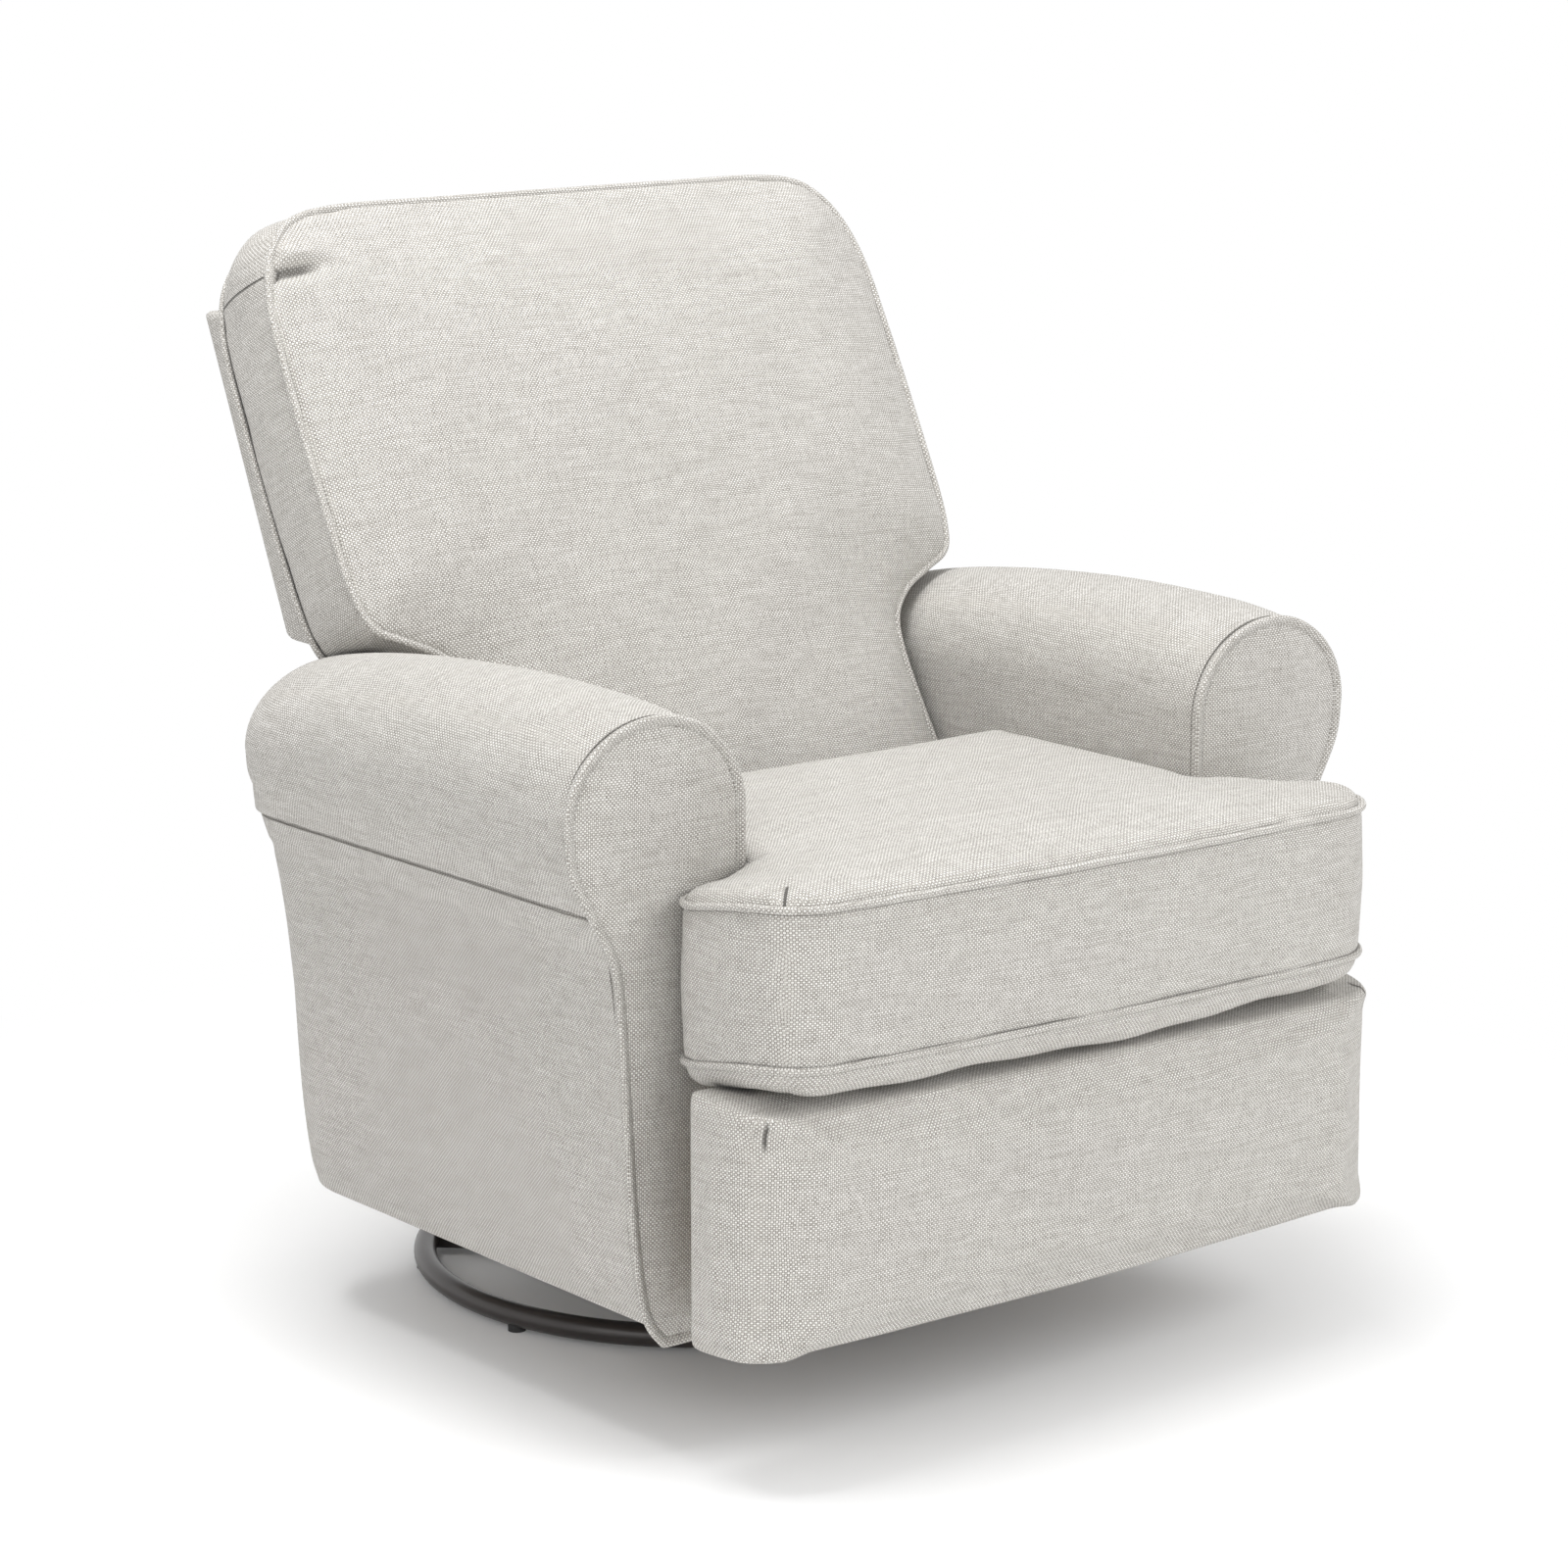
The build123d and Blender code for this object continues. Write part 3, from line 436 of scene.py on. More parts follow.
def woven_cloth_group(plain_weave, thread, relief, lean):
    """The weave laid on a form from three sides and blended by which way the surface faces.

    The place and normal are first turned about X by the lean, so that threads follow a leaning cushion.
    """
    tree, _, out = new_group(
        f"woven_cloth_{round(lean * 100)}", [],
        [("Normal", "NodeSocketVector"), ("Tone", "NodeSocketFloat"), ("Patch", "NodeSocketFloat")])
    spot = tree.nodes.new("ShaderNodeTexCoord").outputs
    turn = {"rotation_type": "X_AXIS"}
    place = node(tree, "ShaderNodeVectorRotate", turn, Vector=spot["Object"], Angle=lean).outputs[0]
    facing = node(tree, "ShaderNodeVectorRotate", turn, Vector=spot["Normal"], Angle=lean).outputs[0]
    axes = node(tree, "ShaderNodeSeparateXYZ", None, i0=place).outputs
    x, y, z = [maths(tree, "DIVIDE", axis, thread) for axis in axes]
    weights = []
    for part in node(tree, "ShaderNodeSeparateXYZ", None, i0=facing).outputs:
        weights.append(maths(tree, "POWER", maths(tree, "ABSOLUTE", part), 12.0))
    total = maths(tree, "ADD", maths(tree, "ADD", weights[0], weights[1]), weights[2])
    sides = [use_group(tree, plain_weave, Across=y, Up=z), use_group(tree, plain_weave, Across=x, Up=z),
             use_group(tree, plain_weave, Across=x, Up=y)]
    blended = {}
    for name in ("Height", "Tone"):
        value = None
        for side, weight in zip(sides, weights):
            term = maths(tree, "MULTIPLY", side[name], maths(tree, "DIVIDE", weight, total))
            value = term if value is None else maths(tree, "ADD", value, term)
        blended[name] = value
    fuzz = noise(tree, place, 2600.0, Detail=2.0)
    height = maths(tree, "MULTIPLY_ADD", fuzz, 0.35, blended["Height"])
    tree.links.new(bump(tree, height, relief), out["Normal"])
    tree.links.new(blended["Tone"], out["Tone"])
    tree.links.new(noise(tree, place, 9.0, Detail=3.0, Roughness=0.6), out["Patch"])
    return tree


def between(tree, value, zero_at, one_at, **inputs):
    """A share that goes from 0 at one value to 1 at another."""
    inputs = {"Value": value, "From_Min": zero_at, "From_Max": one_at, **inputs}
    return node(tree, "ShaderNodeMapRange", None, **inputs).outputs[0]


def band_mask(tree, value, place, half_width):
    """1 where a value is at a place, falling to 0 at half a width away."""
    away = maths(tree, "ABSOLUTE", maths(tree, "SUBTRACT", value, place))
    return between(tree, away, half_width, half_width * 0.4)


def above_mask(tree, value, place, soft):
    """0 below a place, rising to 1 over a soft stretch above it."""
    return between(tree, value, place, place + soft)


def new_material(name, **values):
    """A material with plain values on its shader; gives it with its tree, shader inputs and object place."""
    material = bpy.data.materials.new(name)
    material.use_nodes = True
    tree = material.node_tree
    inputs = tree.nodes["Principled BSDF"].inputs
    for key, value in values.items():
        inputs[key.replace("_", " ")].default_value = value
    return material, tree, inputs, tree.nodes.new("ShaderNodeTexCoord").outputs["Object"]


def cloth_material(name, group, settings, lean=0.0, seam=None):
    """Heathered upholstery cloth: thread tones from fleck through ground and light to bright, faint sheen.

    Within 7 mm of a fold the cloth's colour is darkened to 0.45, which is painted shade. A seam is a function
    of the tree and the place's three axes that gives a mask; along it the cloth's colour takes a painted
    shadow, and the cloth is sunk.
    """
    material, tree, inputs, spot = new_material(
        name, Roughness=0.95, Specular_IOR_Level=0.25, Sheen_Weight=0.12, Sheen_Roughness=0.5)
    cloth = use_group(tree, group)
    tone = maths(tree, "MULTIPLY_ADD", maths(tree, "SUBTRACT", cloth["Patch"], 0.5), 0.05, cloth["Tone"])
    colour = ramp(tree, tone, [
        (0.05, settings.fleck), (0.35, settings.ground), (0.70, settings.light), (0.95, settings.bright)])
    # Painted shade: the colour darkens to 0.45 in folds, creases and where pieces meet, by how open the surface
    # is within 7 mm.
    open_share = node(tree, "ShaderNodeAmbientOcclusion", {"samples": 4}, Distance=0.007).outputs["AO"]
    shade = between(tree, open_share, 0.25, 0.75, To_Min=0.45)
    colour = node(tree, "ShaderNodeVectorMath", {"operation": "SCALE"}, i0=colour, Scale=shade).outputs[0]
    normal = cloth["Normal"]
    if seam:
        turn = {"rotation_type": "X_AXIS"}
        place = node(tree, "ShaderNodeVectorRotate", turn, Vector=spot, Angle=lean).outputs[0]
        mask = seam(tree, node(tree, "ShaderNodeSeparateXYZ", None, i0=place).outputs)
        # Painted shadow: along a seam, dart or tuck the colour goes three quarters of the way to a dark shade
        # of the fleck.
        shadow = (*[c * 0.35 for c in settings.fleck], 1)
        share = maths(tree, "MULTIPLY", mask, 0.75)
        mixed = node(tree, "ShaderNodeMix", {"data_type": "RGBA"}, Factor=share, i6=colour, i7=shadow)
        colour = mixed.outputs[2]
        normal = bump(tree, mask, 0.0025, settings={"invert": True}, Normal=normal)
    tree.links.new(colour, inputs["Base Color"])
    tree.links.new(normal, inputs["Normal"])
    return material


def metal_material(name, colour, metallic, roughness, grain, relief, spread=0.08, coat=0.0):
    """Painted or plated steel: fine grain in the height and roughness, and slow patches in the colour."""
    material, tree, inputs, spot = new_material(name, Metallic=metallic, Coat_Weight=coat)
    fine = noise(tree, spot, grain, Detail=3.0)
    slow = noise(tree, spot, 14.0, Detail=4.0)
    dark = [c * 0.86 for c in colour]
    pale = [min(c * 1.14, 1) for c in colour]
    rough = maths(tree, "MULTIPLY_ADD", maths(tree, "SUBTRACT", fine, 0.5), spread * 2, roughness)
    tree.links.new(ramp(tree, slow, [(0.3, dark), (0.7, pale)]), inputs["Base Color"])
    tree.links.new(rough, inputs["Roughness"])
    tree.links.new(bump(tree, fine, relief), inputs["Normal"])
    return material


def wood_material():
    """Sawn beech: long streaks along the board's length with pores."""
    material, tree, inputs, spot = new_material("sawn_beech", Roughness=0.62)
    stretched = node(tree, "ShaderNodeMapping", None, Vector=spot, Scale=(9.0, 60.0, 60.0)).outputs[0]
    streak = noise(tree, stretched, 1.0, Detail=5.0, Distortion=0.6)
    pores = noise(tree, stretched, 14.0, Detail=2.0)
    tones = [(0.25, (0.40, 0.26, 0.14)), (0.5, (0.58, 0.42, 0.25)), (0.75, (0.68, 0.53, 0.35))]
    tree.links.new(ramp(tree, streak, tones), inputs["Base Color"])
    tree.links.new(bump(tree, pores, 0.0002, 0.8), inputs["Normal"])
    return material


def moulded_material(name, colour, roughness, texture):
    """Moulded plastic or rubber with a fine leather-like grain of small cells."""
    material, tree, inputs, spot = new_material(name, Roughness=roughness)
    cells = node(tree, "ShaderNodeTexVoronoi", None, Vector=spot, Scale=texture).outputs["Distance"]
    slow = noise(tree, spot, 40.0, Detail=3.0)
    tones = [(0.3, [c * 0.8 for c in colour]), (0.7, [c * 1.3 for c in colour])]
    tree.links.new(ramp(tree, slow, tones), inputs["Base Color"])
    tree.links.new(bump(tree, cells, 0.0003, 0.5), inputs["Normal"])
    return material


# ---- settings -----------------------------------------------------------------------


def colour_property(label, text, value):
    """A colour that can be set in the sidebar."""
    return bpy.props.FloatVectorProperty(
        name=label, description=text, subtype="COLOR", size=3, min=0, max=1, default=value)


def number_property(label, text, value, unit="NONE", **limits):
    """A number that can be set in the sidebar."""
    return bpy.props.FloatProperty(name=label, description=text, default=value, unit=unit, **limits)


def length_property(label, text, value):
    """A length that can be set in the sidebar."""
    return number_property(label, text, value, "LENGTH", min=0, precision=4)


class ClothSettings(bpy.types.PropertyGroup):
    thread: length_property("Thread", "Width of one thread of the weave", 0.0018)
    relief: length_property("Relief", "How far a thread stands up", 0.0005)
    fleck: colour_property("Fleck", "Colour of the darkest threads", (0.12, 0.108, 0.090))
    ground: colour_property("Ground", "Colour of the middle threads", (0.40, 0.378, 0.345))
    light: colour_property("Light", "Colour of the light threads", (0.66, 0.640, 0.605))
    bright: colour_property("Bright", "Colour of the slubs", (0.90, 0.885, 0.855))


class ArmSettings(bpy.types.PropertyGroup):
    welt: length_property("Welt", "Radius of the piping round the front panels", 0.0033)
    panel_crown: length_property("Panel crown", "How far the front panels stand forward", 0.007)
    end_round: length_property("End round", "Radius of the arm's soft rear edge", 0.024)


class SeatSettings(bpy.types.PropertyGroup):
    voxel: length_property("Voxel", "Size of the quads that the cushion is filled with", 0.006)
    welt: length_property("Welt", "Radius of the piping", 0.0033)
    crown: length_property("Crown", "Rise of the top before it is filled", 0.013)
    swell: length_property("Swell", "The furthest that filling may move the top", 0.022)


class BackSettings(bpy.types.PropertyGroup):
    voxel: length_property("Voxel", "Size of the quads that the cushion is filled with", 0.006)
    welt: length_property("Welt", "Radius of the piping", 0.0033)
    boxing: length_property("Boxing", "Depth of the band between front and rear", 0.088)
    crown: length_property("Crown", "Rise of the front before it is filled", 0.026)
    swell: length_property("Swell", "The furthest that filling may move the front", 0.026)


class FootrestSettings(bpy.types.PropertyGroup):
    voxel: length_property("Voxel", "Size of the quads that the pad is filled with", 0.006)
    swell: length_property("Swell", "The furthest that filling may move the face", 0.006)
    edge: length_property("Edge", "Radius of the pad's top and bottom edges", 0.008)


class FinishSettings(bpy.types.PropertyGroup):
    ring: colour_property("Ring", "Paint of the floor ring", (0.040, 0.034, 0.032))
    steel: colour_property("Steel", "Paint of the mechanism", (0.035, 0.035, 0.037))
    zinc: colour_property("Zinc", "Plated fasteners and springs", (0.60, 0.60, 0.58))
    plastic: colour_property("Plastic", "Release lever and its plate", (0.035, 0.034, 0.033))


class StageSettings(bpy.types.PropertyGroup):
    target: bpy.props.FloatVectorProperty(name="Target", description="Point the camera looks at", size=3,
                                          subtype="TRANSLATION", default=(0.04, -0.07, 0.46))
    distance: length_property("Distance", "Camera to target", 4.127)
    azimuth: number_property("Azimuth", "Camera's turn about the chair", -0.68207, "ROTATION")
    elevation: number_property("Elevation", "Camera's height angle", 0.21939, "ROTATION")
    lens: number_property("Lens", "Focal length in millimetres", 104.58, min=1)
    key: number_property("Key", "Power of the key light", 52, "POWER", min=0)
    top: number_property("Top", "Power of the overhead light", 66, "POWER", min=0)
    fill: number_property("Fill", "Power of the fill light", 20, "POWER", min=0)
    sky: number_property("Sky", "Strength of the even light all round", 0.66, min=0)


SETTINGS = {
    "recliner_cloth": ClothSettings,
    "recliner_arms": ArmSettings,
    "recliner_seat": SeatSettings,
    "recliner_back": BackSettings,
    "recliner_footrest": FootrestSettings,
    "recliner_finish": FinishSettings,
    "recliner_stage": StageSettings,
}


def cloth(lean=0.0, part="", seam=None):
    """The upholstery cloth; lean turns its threads with a cushion, and a part may have its own seam."""
    name = ("oatmeal_weave" if not lean else "oatmeal_weave_leaning") + part
    if name not in bpy.data.materials:
        settings = bpy.context.scene.recliner_cloth
        weave = bpy.data.node_groups.get("plain_weave") or plain_weave_group()
        group = bpy.data.node_groups.get(f"woven_cloth_{round(lean * 100)}")
        group = group or woven_cloth_group(weave, settings.thread, settings.relief, lean)
        cloth_material(name, group, settings, lean, seam)
    return bpy.data.materials[name]


def footrest_darts(tree, axes):
    """Two short upright seams at the pad's top edge, in line with the cushion's ears."""
    at = band_mask(tree, maths(tree, "ABSOLUTE", axes[0]), 0.338, 0.0016)
    front = above_mask(tree, maths(tree, "MULTIPLY", axes[1], -1.0), 0.490, 0.006)
    return maths(tree, "MULTIPLY", at, maths(tree, "MULTIPLY", front, band_mask(tree, axes[2], 0.304, 0.014)))


def boxing_joins(tree, axes):
    """The joins of the back cushion's boxing near its upper corners, and the tuck beside one of them."""
    up = maths(tree, "SUBTRACT", axes[2], float(BACK_FOOT @ BACK_UP))
    behind = above_mask(tree, axes[1], 0.004 - float(BACK_FOOT @ BACK_FORWARD), 0.003)
    side = above_mask(tree, maths(tree, "ABSOLUTE", axes[0]), 0.300, 0.010)
    join = maths(tree, "MULTIPLY", band_mask(tree, up, 0.338, 0.0013), maths(tree, "MULTIPLY", side, behind))
    corner = above_mask(tree, maths(tree, "MULTIPLY", axes[0], -1.0), 0.285, 0.015)
    tuck = maths(tree, "MULTIPLY", band_mask(tree, up, 0.337, 0.005), maths(tree, "SUBTRACT", corner, behind))
    return maths(tree, "MAXIMUM", join, maths(tree, "MULTIPLY", tuck, 0.8))


# ---- finishes of the CAD nodes --------------------------------------------------------


class RECLINER_OT_finishes(bpy.types.Operator):
    """Give every rigid node of the frame its paint, plating, wood or plastic"""

    bl_idname = "recliner.finishes"
    bl_label = "Frame finishes"

    def execute(self, context):
        settings = context.scene.recliner_finish
        bronze = metal_material("bronze_paint", settings.ring, 0.25, 0.36, 500.0, 0.00002, 0.05, 0.15)
        finishes = {
            "bronze_ring": bronze,
            "black_steel": metal_material("black_powder_coat", settings.steel, 0.0, 0.42, 700.0, 0.00012),
            "zinc_steel": metal_material("zinc_plate", settings.zinc, 1.0, 0.34, 900.0, 0.00003),
            "frame_wood": wood_material(),
            "lever_plastic": moulded_material("moulded_black", settings.plastic, 0.42, 900.0),
            "glide_rubber": moulded_material("rubber_glide", (0.025, 0.025, 0.025), 0.75, 500.0),
            "cream_weave": cloth(),
        }
        slots = {part["node"]: part["material_slot"] for part in frame["record"]["subparts"]}
        for name, obj in frame["nodes"].items():
            obj.data.materials.clear()
            obj.data.materials.append(finishes[slots[name]])
        return {"FINISHED"}


# ---- arms -------------------------------------------------------------------------------

# The left arm. Pairs are places in X and Z, but for REAR_CORNER, a height and the radius that the arm's
# rear corner has there, and TOP_LINE, a place along Y and the height of the roll's top there.
ROLL_CENTRE = (0.3445, 0.545)
ROLL_RADIUS = 0.0875
INNER_WALL = 0.257
SEAM_Z = 0.466
UNDER_ROLL = [(0.432, 0.545), (0.4275, 0.509), (0.4085, 0.468)]
OUTER_SIDE = [(0.4085, 0.468), (0.3865, 0.424), (0.3795, 0.365), (0.3750, 0.289), (0.3690, 0.200),
              (0.3610, 0.140), (0.3530, 0.114), (0.3390, 0.0965)]
FOLD = [(0.4075, 0.4665), (0.4035, 0.4655), (0.3995, 0.4640), (0.3995, 0.4620)]
PANEL_FACE = -0.380
PANEL_FOOT = 0.0965
COVER_FRONT = -0.3725
ARM_REAR = 0.165
HEM = 0.114
PAD_FOOT = 0.3455
BOARD_INNER, BOARD_OUTER, BOARD_REAR = 0.2655, 0.2835, 0.1502
REAR_CORNER = [(0.30, 0.082), (0.42, 0.066), (0.466, 0.072), (0.50, 0.105), (0.64, 0.110)]
PANEL_TOP = 0.6200
TOP_LINE = [(-0.400, 0.6200), (-0.372, 0.6225), (-0.335, 0.6275), (-0.291, 0.6300), (-0.200, 0.6310),
            (-0.120, 0.6275), (-0.040, 0.6210), (0.038, 0.6110), (0.097, 0.5985), (0.144, 0.5810),
            (0.166, 0.5705)]


def lowered(z, top):
    """Heights of the roll's section stretched above the seam so that it ends at a given top."""
    stretch = (top - SEAM_Z) / (ROLL_CENTRE[1] + ROLL_RADIUS - SEAM_Z)
    return np.where(z > SEAM_Z, SEAM_Z + (z - SEAM_Z) * stretch, z)


def roll_arc(spacing):
    """The roll from the inner wall over the top to its widest point: a half circle."""
    angle = np.linspace(np.pi, 0, 90)
    arc = ROLL_CENTRE + ROLL_RADIUS * np.stack([np.cos(angle), np.sin(angle)], 1)
    return even(arc, spacing)


def panel_outline(spacing=0.004):
    """Keyhole outline of the front panel in X and Z: wall, roll, waist, side and round foot."""
    side = through(UNDER_ROLL + OUTER_SIDE[1:], spacing)
    foot = even([(0.3390, PANEL_FOOT), (0.272, PANEL_FOOT)], spacing)[1:]
    corner = through([(0.272, PANEL_FOOT), (0.261, 0.101), (INNER_WALL, 0.113)], spacing)[1:]
    wall = even([(INNER_WALL, 0.113), (INNER_WALL, ROLL_CENTRE[1])], spacing)[1:]
    outline = np.concatenate([wall, roll_arc(spacing)[1:], side[1:], foot, corner])
    outline[:, 1] = lowered(outline[:, 1], PANEL_TOP)
    return even(outline, spacing, closed=True)


def cover_section(spacing=0.004):
    """Section of the arm's cover in X and Z: up the inner wall, round the roll, into the fold, to the hem."""
    roll = through(UNDER_ROLL, spacing)
    panel = through([(0.4015, 0.4605), (0.3935, 0.4400), *OUTER_SIDE[1:-1]], spacing)
    side = np.concatenate([roll, FOLD, panel])
    wall = even([(INNER_WALL, PAD_FOOT), (INNER_WALL, ROLL_CENTRE[1])], spacing)
    foot = [(0.3530, HEM), (BOARD_OUTER, HEM), (BOARD_OUTER, PAD_FOOT), (INNER_WALL, PAD_FOOT)]
    return np.concatenate([wall, roll_arc(spacing)[1:], side[1:], even(foot, spacing)[1:-1]])


def rear_inset(x, z, past_rear):
    """How far the cover's side moves in near the rear, where the arm turns a corner of its own radius r.

    It is r - sqrt(r^2 - past^2), in full at the outer side and not at all at the inner wall, and r
    depends on the height.
    """
    radius = np.interp(z, *np.transpose(REAR_CORNER))
    past = np.clip(past_rear + radius, 0, radius)
    share = smoothstep(x, INNER_WALL - 0.03, 0.385)
    at_wall = smoothstep(INNER_WALL, INNER_WALL - 0.03, 0.385)
    return (radius - np.sqrt(radius**2 - past**2)) * np.maximum(share - at_wall, 0) / (1 - at_wall)


def arm_cover(settings):
    """Skin of one left arm: the section carried along Y.

    The roll's height follows the top line. The last rows shrink towards the arm's middle line by
    R (1 - cos) as y grows by R sin, but by less than half of the way. Behind the board, the section
    below the pad's foot reaches in as far as the board does.
    """
    section = cover_section()
    start = ARM_REAR - settings.end_round
    body = np.linspace(COVER_FRONT, start, 110)
    behind_board = np.arcsin([0.380, 0.388])
    turn = np.sort(np.append(np.linspace(0, np.pi / 2, 10)[1:], behind_board))
    y = np.concatenate([body, start + settings.end_round * np.sin(turn)])
    shrink = np.concatenate([np.zeros(len(body)), settings.end_round * (1 - np.cos(turn))])
    top_line = through(TOP_LINE, 0.004)
    top = np.interp(y, top_line[:, 0], top_line[:, 1])
    z = lowered(section[None, :, 1], top[:, None])
    x = section[:, 0] - rear_inset(*section.T, y[:, None] - ARM_REAR)
    inner = np.where(y > BOARD_REAR, BOARD_INNER, BOARD_OUTER)[:, None]
    x = np.where(z < PAD_FOOT - 1e-4, np.maximum(x, inner), x)
    beside_board = (section[:, 0] < BOARD_OUTER + 1e-4) & (section[:, 0] > INNER_WALL + 0.001)
    x = np.where(beside_board & (section[:, 1] < PAD_FOOT + 5e-4), inner, x)
    rows = np.stack([x, np.broadcast_to(y[:, None], x.shape), z], -1)
    keep = smoothstep(z, HEM, 0.150)
    middle = np.interp(z, [0.30, 0.365, 0.424, 0.466], [0.278, 0.282, 0.2885, 0.293])
    into = np.stack([middle, rows[..., 1], np.clip(z, 0.150, 0.530)], -1) - rows
    distance = np.linalg.norm(into, axis=2)
    into /= distance[..., None]
    rows = rows + into * (np.minimum(shrink[:, None], 0.45 * distance) * keep)[..., None]

    outer = section[None, :, 0] > 0.37
    front = smoothstep(-rows[..., 1], 0.27, 0.365)
    below = np.exp(-(((rows[..., 2] - 0.452) / 0.014) ** 2)) * outer
    pucker = 0.0016 * np.sin(rows[..., 2] * 260 + rows[..., 1] * 120) * front * below
    waves = ripple(rows.reshape(-1, 3), 7, 0.16).reshape(x.shape) * 0.0008
    return rows + into * (pucker + waves * keep)[..., None]


def front_panel(settings):
    """Pillowed face of a front panel: the outline drawn in to the keyhole's middle line.

    Going in by t, a point stands forward by crown (1 - (1 - t)^3), so that it is tight at the welt.
    """
    outline = panel_outline(0.005)
    x, z = outline.T
    low = np.clip(z, 0.175, ROLL_CENTRE[1])
    middle = np.interp(low, [0.10, 0.40, 0.47, 0.545], [0.312, 0.320, 0.335, 0.3445])
    spine = np.stack([middle, low], 1)
    steps = np.concatenate([np.linspace(0, 0.2, 6), np.linspace(0.28, 1, 9)])
    rise = settings.panel_crown * (1 - (1 - steps) ** 3)
    flat = outline[None] + (spine - outline)[None] * steps[:, None, None]
    y = PANEL_FACE - np.broadcast_to(rise[:, None], flat.shape[:2])
    face = np.stack([flat[..., 0], y, flat[..., 1]], -1)
    rear = np.stack([x, np.full(len(x), COVER_FRONT), z], -1)
    return np.concatenate([rear[None], face])


class RECLINER_OT_arms(bpy.types.Operator):
    """Cover both arms: roll and side in one skin, pillowed front panel and welt"""

    bl_idname = "recliner.arms"
    bl_label = "Arms"

    def execute(self, context):
        settings = context.scene.recliner_arms
        cover = arm_cover(settings)
        panel = front_panel(settings)
        outline = panel_outline(0.004)
        line = outline - inward(outline) * 0.0006
        welt = np.stack([line[:, 0], np.full(len(line), PANEL_FACE - 0.0005), line[:, 1]], -1)
        for side, sign in (("left", 1), ("right", -1)):
            flip = np.array([sign, 1, 1])
            skin = loft(f"arm_cover_{side}", cover * flip)
            skin = piece(f"arm_cover_{side}", skin, cloth(), "chair", 50)
            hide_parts(f"arm_body_{side}", f"arm_roll_{side}")
            rows = panel * flip
            count, columns = rows.shape[:2]
            faces = grid_faces(count, columns, closed=True)
            mesh = raw_mesh(f"arm_panel_{side}", rows, faces, [range(columns - 1, -1, -1)])
            mesh = tidy_mesh(mesh, 2e-4)
            face = piece(f"arm_panel_{side}", mesh, cloth(), "chair", 60)
            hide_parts(f"arm_front_panel_{side}")
            piping(f"arm_welt_{side}", welt * flip, (0, 1, 0), settings.welt, "chair")
        return {"FINISHED"}


# ---- seat cushion -------------------------------------------------------------------------


EAR_HALF_WIDTH = 0.342
EAR_CORNER = (0.322, -0.516)
SEAT_LOW, SEAT_HIGH = 0.352, 0.4825


def seat_lift(x, y):
    """How far the seat's seams stand above level: they fall slightly to the sitter's left and at the ears."""
    droop = smoothstep(y, -0.505, -0.400) * smoothstep(np.abs(x), 0.250, 0.300)
    return 0.0010 - 0.011 * x - 0.0135 * droop


def seat_pleats(tree, axes):
    """A short tuck from the top welt towards the middle at each front corner."""
    across = maths(tree, "ADD", maths(tree, "ABSOLUTE", axes[0]), axes[1])
    at = band_mask(tree, across, sum(EAR_CORNER), 0.0021)
    front = above_mask(tree, maths(tree, "MULTIPLY", axes[1], -1.0), 0.499, 0.003)
    height = band_mask(tree, axes[2], 0.495, 0.012)
    return maths(tree, "MULTIPLY", at, maths(tree, "MULTIPLY", front, height))


def seat_outline(spacing):
    """Plan of the T cushion: round ears, bowed front, square neck."""
    ear = EAR_HALF_WIDTH
    corners = [(ear, -0.533), (ear, -0.3915), (0.2535, -0.3915), (0.2535, -0.128),
               (-0.2535, -0.128), (-0.2535, -0.3915), (-ear, -0.3915), (-ear, -0.533)]
    outline = rounded(corners, [0.058, 0.032, 0.006, 0.020, 0.020, 0.006, 0.032, 0.058], spacing)
    bow = 0.013 * (1 - np.clip(np.abs(outline[:, 0]) / ear, 0, 1) ** 2)
    outline[:, 1] -= bow * smoothstep(-outline[:, 1], 0.46, 0.53)
    return outline


def cushion_block(name, outline, levels):
    """Closed block on an outline: each level is (inset, height), with flat ends."""
    into = inward(outline)
    rows = [np.column_stack([outline + into * inset, np.full(len(outline), z)]) for inset, z in levels]
    return loft(name, rows)


def under_band():
    """Soft band below the front welt: from the welt it curls down and in by a quarter turn, then runs back.

    Its depth has a slow wave along the front, and it fades out along the ears' rear edge.
    """
    outline = seat_outline(0.004)
    before = outline[:, 1] < -0.405
    front, into = outline[before], inward(outline)[before]
    order = np.argsort(np.arctan2(front[:, 0], -(front[:, 1] + 0.30)))
    front, into = front[order], into[order]
    wave = 0.0020 * np.sin(front[:, 0] * 21 + 0.6) + 0.0010 * np.sin(front[:, 0] * 57)
    pleat = 0.004 * np.exp(-(((np.abs(front[:, 0]) - EAR_CORNER[0]) / 0.006) ** 2))
    low = SEAT_LOW + seat_lift(*front.T)
    drop = 0.0295 - 0.006 * (front[:, 0] / 0.33) ** 2 + wave
    rows = []
    for angle in np.linspace(0, np.pi / 2, 12):
        inset = 0.001 + 0.022 * (1 - np.cos(angle)) + pleat * np.sin(angle)
        rows.append(np.column_stack([front + into * inset[:, None], low - drop * np.sin(angle)]))
    for inset, lift in ((0.030, 0.001), (0.040, 0.008), (0.044, 0.0235)):
        rows.append(np.column_stack([front + into * inset, low - drop + lift]))
    rows.append(np.column_stack([front + into * 0.010, low - 0.001]))
    return loft("seat_under_band", np.stack(rows, 1))


